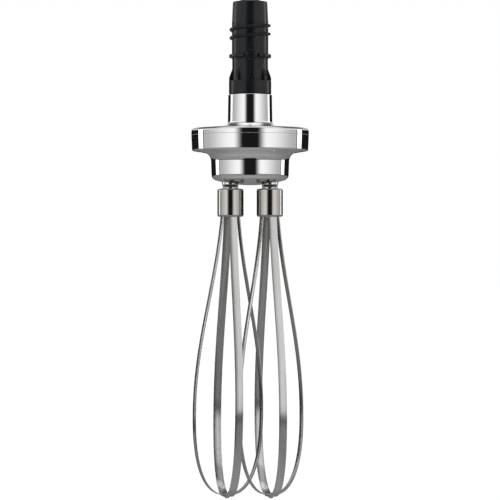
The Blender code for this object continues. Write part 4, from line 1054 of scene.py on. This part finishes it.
key_shoulder = KEY_TOP - KEY_HALF_WIDTH
key_outline = [
    *arc((0.0, key_shoulder), KEY_HALF_WIDTH, 180.0, 0.0, KEY_STEPS),
    (KEY_HALF_WIDTH, KEY_KNEE),
    (KEY_HALF_WIDTH + KEY_FLARE / 3, KEY_KNEE - KEY_BEND),
    (KEY_HALF_WIDTH + KEY_FLARE, FIN_FOOT),
    (-KEY_HALF_WIDTH - KEY_FLARE, FIN_FOOT),
    (-KEY_HALF_WIDTH - KEY_FLARE / 3, KEY_KNEE - KEY_BEND),
    (-KEY_HALF_WIDTH, KEY_KNEE),
]
key = draw_face("key_rib", [Vector((ring_root, y, z)) for y, z in key_outline])
bpy.ops.mesh.extrude_region_move(TRANSFORM_OT_translate={"value": (ROOT_SINK + KEY_HEIGHT, 0.0, 0.0)})
finish_mesh()
break_edges(key, FINE_EDGE)
turn_to(key, KEY_HEADING)
print("key at heading:", KEY_HEADING)

# %% [markdown]
# A round latch knob lies across the key, at the height of the snap ring. It starts as a cylinder
# that is stretched to an oval and pillowed by a wide bevel on its crest.

# %% Latch knob
KNOB_WIDTH = 0.0077
KNOB_LENGTH = 0.0094
KNOB_HEIGHT = 0.0021
KNOB_SIDES = 48
KNOB_PILLOW = 0.0012
PILLOW_STEPS = 5

knob_depth = KNOB_HEIGHT + ROOT_SINK
bpy.ops.object.select_all(action="DESELECT")
bpy.ops.mesh.primitive_cylinder_add(vertices=KNOB_SIDES, radius=0.5, depth=1.0,
                                    location=(ring_root + knob_depth / 2, 0.0, RING_HEIGHT),
                                    rotation=(0.0, math.pi / 2, 0.0))
knob = bpy.context.object
knob.name = "knob"
knob.scale = (KNOB_LENGTH, KNOB_WIDTH, knob_depth)
bpy.ops.object.transform_apply(location=True, rotation=True, scale=True)
break_edges(knob, KNOB_PILLOW, PILLOW_STEPS)
turn_to(knob, KEY_HEADING)
print("knob at height:", RING_HEIGHT)

# %% [markdown]
# Boolean unions now make one skin of the sleeve and its features, so no hidden walls stay inside
# the coupler.

# %% One moulding
for feature in (rib, ring, *fins, key, knob):
    apply_modifier(coupler, "BOOLEAN", operation="UNION", solver="EXACT", object=feature)
    bpy.data.objects.remove(feature)
bpy.ops.object.shade_smooth_by_angle(angle=SMOOTH_ANGLE)
dress(coupler, moulding, "housing", "black_plastic", "coupler")

# %% [markdown]
# The drive hub closes the coupler's upper end. It is turned from steel, with a wide round shoulder.

# %% Drive hub
DRIVE_HUB_RADIUS = 0.0102
DRIVE_HUB_NECK = 0.0068
DRIVE_HUB_BORE = 0.0043
SHOULDER_HEIGHT = 0.0736
SHOULDER_STEPS = 8

drive_hub_low, drive_hub_high = (corner.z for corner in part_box("drive_hub"))
shoulder = DRIVE_HUB_RADIUS - DRIVE_HUB_NECK
drive_hub = turned("drive_hub_turned", [
    (DRIVE_HUB_BORE, drive_hub_low),
    (DRIVE_HUB_RADIUS, drive_hub_low, FINE_EDGE),
    *arc((DRIVE_HUB_NECK, SHOULDER_HEIGHT), shoulder, 0.0, 90.0, SHOULDER_STEPS),
    (DRIVE_HUB_NECK, drive_hub_high, EDGE_BREAK),
    (DRIVE_HUB_BORE, drive_hub_high, FINE_EDGE),
])
dress(drive_hub, grey_steel, "drive_shaft", "grey_steel", "drive_hub")

# %% [markdown]
# Below the dome each whisk starts with a dark ring seal, which keeps food out of the bushes. Seals,
# hubs and ferrules are the same on both sides. Each is turned once at the left spindle and copied to
# the right one.

# %% Seals
SEAL_RADIUS = 0.0065
SEAL_BORE = 0.0038

seal_low, seal_high = (corner.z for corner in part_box("left_seal"))
left_seal = turned("left_seal_ring", [
    (SEAL_BORE, seal_low),
    (SEAL_RADIUS, seal_low, FINE_EDGE),
    (SEAL_RADIUS, seal_high, FINE_EDGE),
    (SEAL_BORE, seal_high),
], axis=LEFT_SPINDLE)
right_seal = copied(left_seal, "right_seal_ring", SPINDLE_SPACING)
dress(left_seal, rubber, "left_whisk", "black_rubber", "left_seal")
dress(right_seal, rubber, "right_whisk", "black_rubber", "right_seal")

# %% [markdown]
# The hub is the turned core of a whisk. Its bore takes the spindle from above. Its neck shows between
# the seal and the ferrule, and a short cone leads from the neck to the slimmer core, which leaves
# room for the strips.

# %% Whisk hubs
HUB_NECK_RADIUS = 0.0064
HUB_CORE_RADIUS = 0.0062
HUB_STUB_BORE = 0.0038
HUB_STUB_DEPTH = 0.012
HUB_CONE_TOP = 0.0024
HUB_CONE_FOOT = 0.0047

ferrule_low, ferrule_top = (corner.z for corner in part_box("left_ferrule"))
hub_low, hub_high = (corner.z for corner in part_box("left_hub"))
left_hub = turned("left_hub_turned", [
    (0.0, hub_low),
    (HUB_CORE_RADIUS, hub_low, FINE_EDGE),
    (HUB_CORE_RADIUS, ferrule_top - HUB_CONE_FOOT),
    (HUB_NECK_RADIUS, ferrule_top - HUB_CONE_TOP),
    (HUB_NECK_RADIUS, hub_high, FINE_EDGE),
    (HUB_STUB_BORE, hub_high),
    (HUB_STUB_BORE, hub_high - HUB_STUB_DEPTH),
    (0.0, hub_high - HUB_STUB_DEPTH),
], axis=LEFT_SPINDLE)
right_hub = copied(left_hub, "right_hub_turned", SPINDLE_SPACING)
dress(left_hub, turned_steel, "left_whisk", "satin_stainless", "left_hub")
dress(right_hub, turned_steel, "right_whisk", "satin_stainless", "right_hub")

# %% [markdown]
# The ferrule is a sleeve with rounded corners and a roof that fits round the hub's neck. It clamps
# the ends of the strips against the hub. It gets more sides than the small pieces, because it is the
# widest round thing below the gear head.

# %% Ferrules
FERRULE_SIDES = 96
FERRULE_RADIUS = 0.01066
FERRULE_BORE = 0.00836
FERRULE_BORE_EDGE = 0.0004
FERRULE_CORNER = 0.0014
FERRULE_ROOF = 0.0021
ROOF_GAP = 0.0003

left_ferrule = turned("left_ferrule_sleeve", [
    (HUB_NECK_RADIUS + ROOF_GAP, ferrule_top),
    (FERRULE_RADIUS, ferrule_top, FERRULE_CORNER),
    (FERRULE_RADIUS, ferrule_low, FERRULE_CORNER),
    (FERRULE_BORE, ferrule_low, FERRULE_BORE_EDGE),
    (FERRULE_BORE, ferrule_top - FERRULE_ROOF),
    (HUB_NECK_RADIUS + ROOF_GAP, ferrule_top - FERRULE_ROOF),
], axis=LEFT_SPINDLE, sides=FERRULE_SIDES)
right_ferrule = copied(left_ferrule, "right_ferrule_sleeve", SPINDLE_SPACING)
dress(left_ferrule, turned_steel, "left_whisk", "satin_stainless", "left_ferrule")
dress(right_ferrule, turned_steel, "right_whisk", "satin_stainless", "right_ferrule")

# %% [markdown]
# A whisk holds two strip loops at right angles. Each strip runs straight down inside the ferrule,
# swells out to the waist, rounds the bottom and comes up on the other side. Its upper part mixes a
# quick swell with a slow one, and its lower part is a superellipse, a little fuller than an ellipse.
# Both are formulas, so a loop has no list of points.

# %% Line of a loop
STRIP_SEAT = 0.00695
STRIP_TOP = -0.08125
CAGE_UPPER = 0.1582
CAGE_ROUNDNESS = 2.46
SWELL = 0.4
CROSSING_FLAT = 0.0035
UPPER_STATIONS = 22
LOWER_STATIONS = 26


def half_line(cage, depth):
    """Middle line of half a loop as (radius, height), from the ferrule down to the crossing."""
    line = [(STRIP_SEAT, STRIP_TOP), (STRIP_SEAT, (STRIP_TOP + ferrule_low) / 2), (STRIP_SEAT, ferrule_low)]
    for step in range(1, UPPER_STATIONS + 1):
        share = step / UPPER_STATIONS
        quick = math.sin(share * math.pi / 2)
        slow = (1 - math.cos(share * math.pi)) / 2
        eased = SWELL * quick + (1 - SWELL) * slow
        line.append((STRIP_SEAT + (cage - STRIP_SEAT) * eased, ferrule_low - CAGE_UPPER * share))
    power = 2 / CAGE_ROUNDNESS
    end = math.acos((CROSSING_FLAT / cage) ** (1 / power))
    for step in range(1, LOWER_STATIONS + 1):
        turn = end * step / LOWER_STATIONS
        drop = depth * (math.sin(turn) / math.sin(end)) ** power
        line.append((cage * math.cos(turn) ** power, ferrule_low - CAGE_UPPER - drop))
    return line


print("waist height:", round(ferrule_low - CAGE_UPPER, 4))

# %% [markdown]
# The line is drawn along one edge of the strip, extruded across the width to a ribbon, and
# thickened. The whisks lean apart very slightly, as the photograph shows. Each whisk has its own
# turn about its spindle, its own radius at the waist and its own lean, so its loops aren't copies.
# The inner loop crosses just above the outer one.

# %% Strip loops
STRIP_WIDTH = 0.0067
STRIP_THICKNESS = 0.001
STRIP_EDGE = 0.0002
CAGE_LOWER = 0.0690
CROSSING_LIFT = 0.0012
WHISKS = (
    {"name": "left", "side": -1, "phase": 18.6, "radius": 0.0287, "lean": 0.0122},
    {"name": "right", "side": 1, "phase": 21.2, "radius": 0.0272, "lean": 0.0042},
)


def middle(whisk, height):
    """Where the leaning middle of a whisk lies at a height."""
    return whisk["side"] * (SPINDLE_OFFSET + whisk["lean"] * max(0.0, ferrule_low - height))


def strip_loop(name, whisk, turn, depth):
    """One strip loop of a whisk. Its plane is turned by the whisk's phase and the given angle."""
    phase = math.radians(whisk["phase"] + turn)
    half = half_line(whisk["radius"], depth)
    line = half + [(-radius, height) for radius, height in reversed(half)]
    outward = Vector((math.cos(phase), math.sin(phase), 0.0))
    across = Vector((-math.sin(phase), math.cos(phase), 0.0)) * STRIP_WIDTH
    points = []
    for radius, height in line:
        points.append(Vector((middle(whisk, height), 0.0, height)) + outward * radius - across / 2)
    loop = draw_chain(name, points)
    bpy.ops.mesh.extrude_edges_move(TRANSFORM_OT_translate={"value": across})
    finish_mesh()
    apply_modifier(loop, "SOLIDIFY", thickness=STRIP_THICKNESS, offset=0.0, use_even_offset=True)
    break_edges(loop, STRIP_EDGE)
    return loop


for whisk in WHISKS:
    name = whisk["name"]
    for kind, turn, depth in (("inner", 0.0, CAGE_LOWER - CROSSING_LIFT), ("outer", 90.0, CAGE_LOWER)):
        loop = strip_loop(f"{name}_{kind}_strip", whisk, turn, depth)
        dress(loop, strip_steel, f"{name}_whisk", "satin_stainless", f"{name}_{kind}_loop")

# %% [markdown]
# A rivet holds the two loops of a whisk together where they cross at the bottom. It has a domed head
# below, a shank through both strips and a clenched head above. The left one is turned where the left
# whisk's leaning middle ends, and the right one is its copy.

# %% Rivets
RIVET_RADIUS = 0.0012
RIVET_HEAD = 0.0022
HEAD_CROWN = RIVET_HEAD * 0.5
HEAD_SHOULDER = RIVET_HEAD * 0.85
CROWN_RISE, SHOULDER_RISE, DOME_HEIGHT = 0.0001, 0.0005, 0.0012
CLENCH_HEIGHT = 0.0006
CLENCH_EDGE = 0.0002

rivet_low, rivet_high = (corner.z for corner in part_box("left_rivet"))
left_foot, right_foot = (middle(whisk, rivet_low) for whisk in WHISKS)
left_rivet = turned("left_rivet_turned", [
    (0.0, rivet_low),
    (HEAD_CROWN, rivet_low + CROWN_RISE),
    (HEAD_SHOULDER, rivet_low + SHOULDER_RISE),
    (RIVET_HEAD, rivet_low + DOME_HEIGHT),
    (RIVET_RADIUS, rivet_low + DOME_HEIGHT),
    (RIVET_RADIUS, rivet_high - CLENCH_HEIGHT),
    (HEAD_SHOULDER, rivet_high - CLENCH_HEIGHT, CLENCH_EDGE),
    (HEAD_CROWN, rivet_high),
    (0.0, rivet_high),
], axis=(left_foot, 0.0), sides=SMALL_SIDES)
right_rivet = copied(left_rivet, "right_rivet_turned", right_foot - left_foot)
dress(left_rivet, turned_steel, "left_whisk", "satin_stainless", "left_rivet")
dress(right_rivet, turned_steel, "right_whisk", "satin_stainless", "right_rivet")

# %% [markdown]
# The remaining CAD pieces keep their shapes: the gasket, the shaft and its seal, gears, bearings,
# bushes, spindles, pins and clips. The record names a material for each CAD piece, and every piece
# gets that finish here, also those that a new piece now stands for.

# %% Finishes for the CAD pieces
FINISHES = {
    "black_plastic": moulding,
    "grey_steel": grey_steel,
    "polished_chrome": polished,
    "satin_stainless": turned_steel,
    "machined_steel": machined,
    "bearing_bronze": bronze,
    "black_rubber": rubber,
}
for subpart in frame["record"]["subparts"]:
    node = frame["nodes"][subpart["node"]]
    for material_slot in node.material_slots:
        material_slot.material = FINISHES[subpart["material_slot"]]
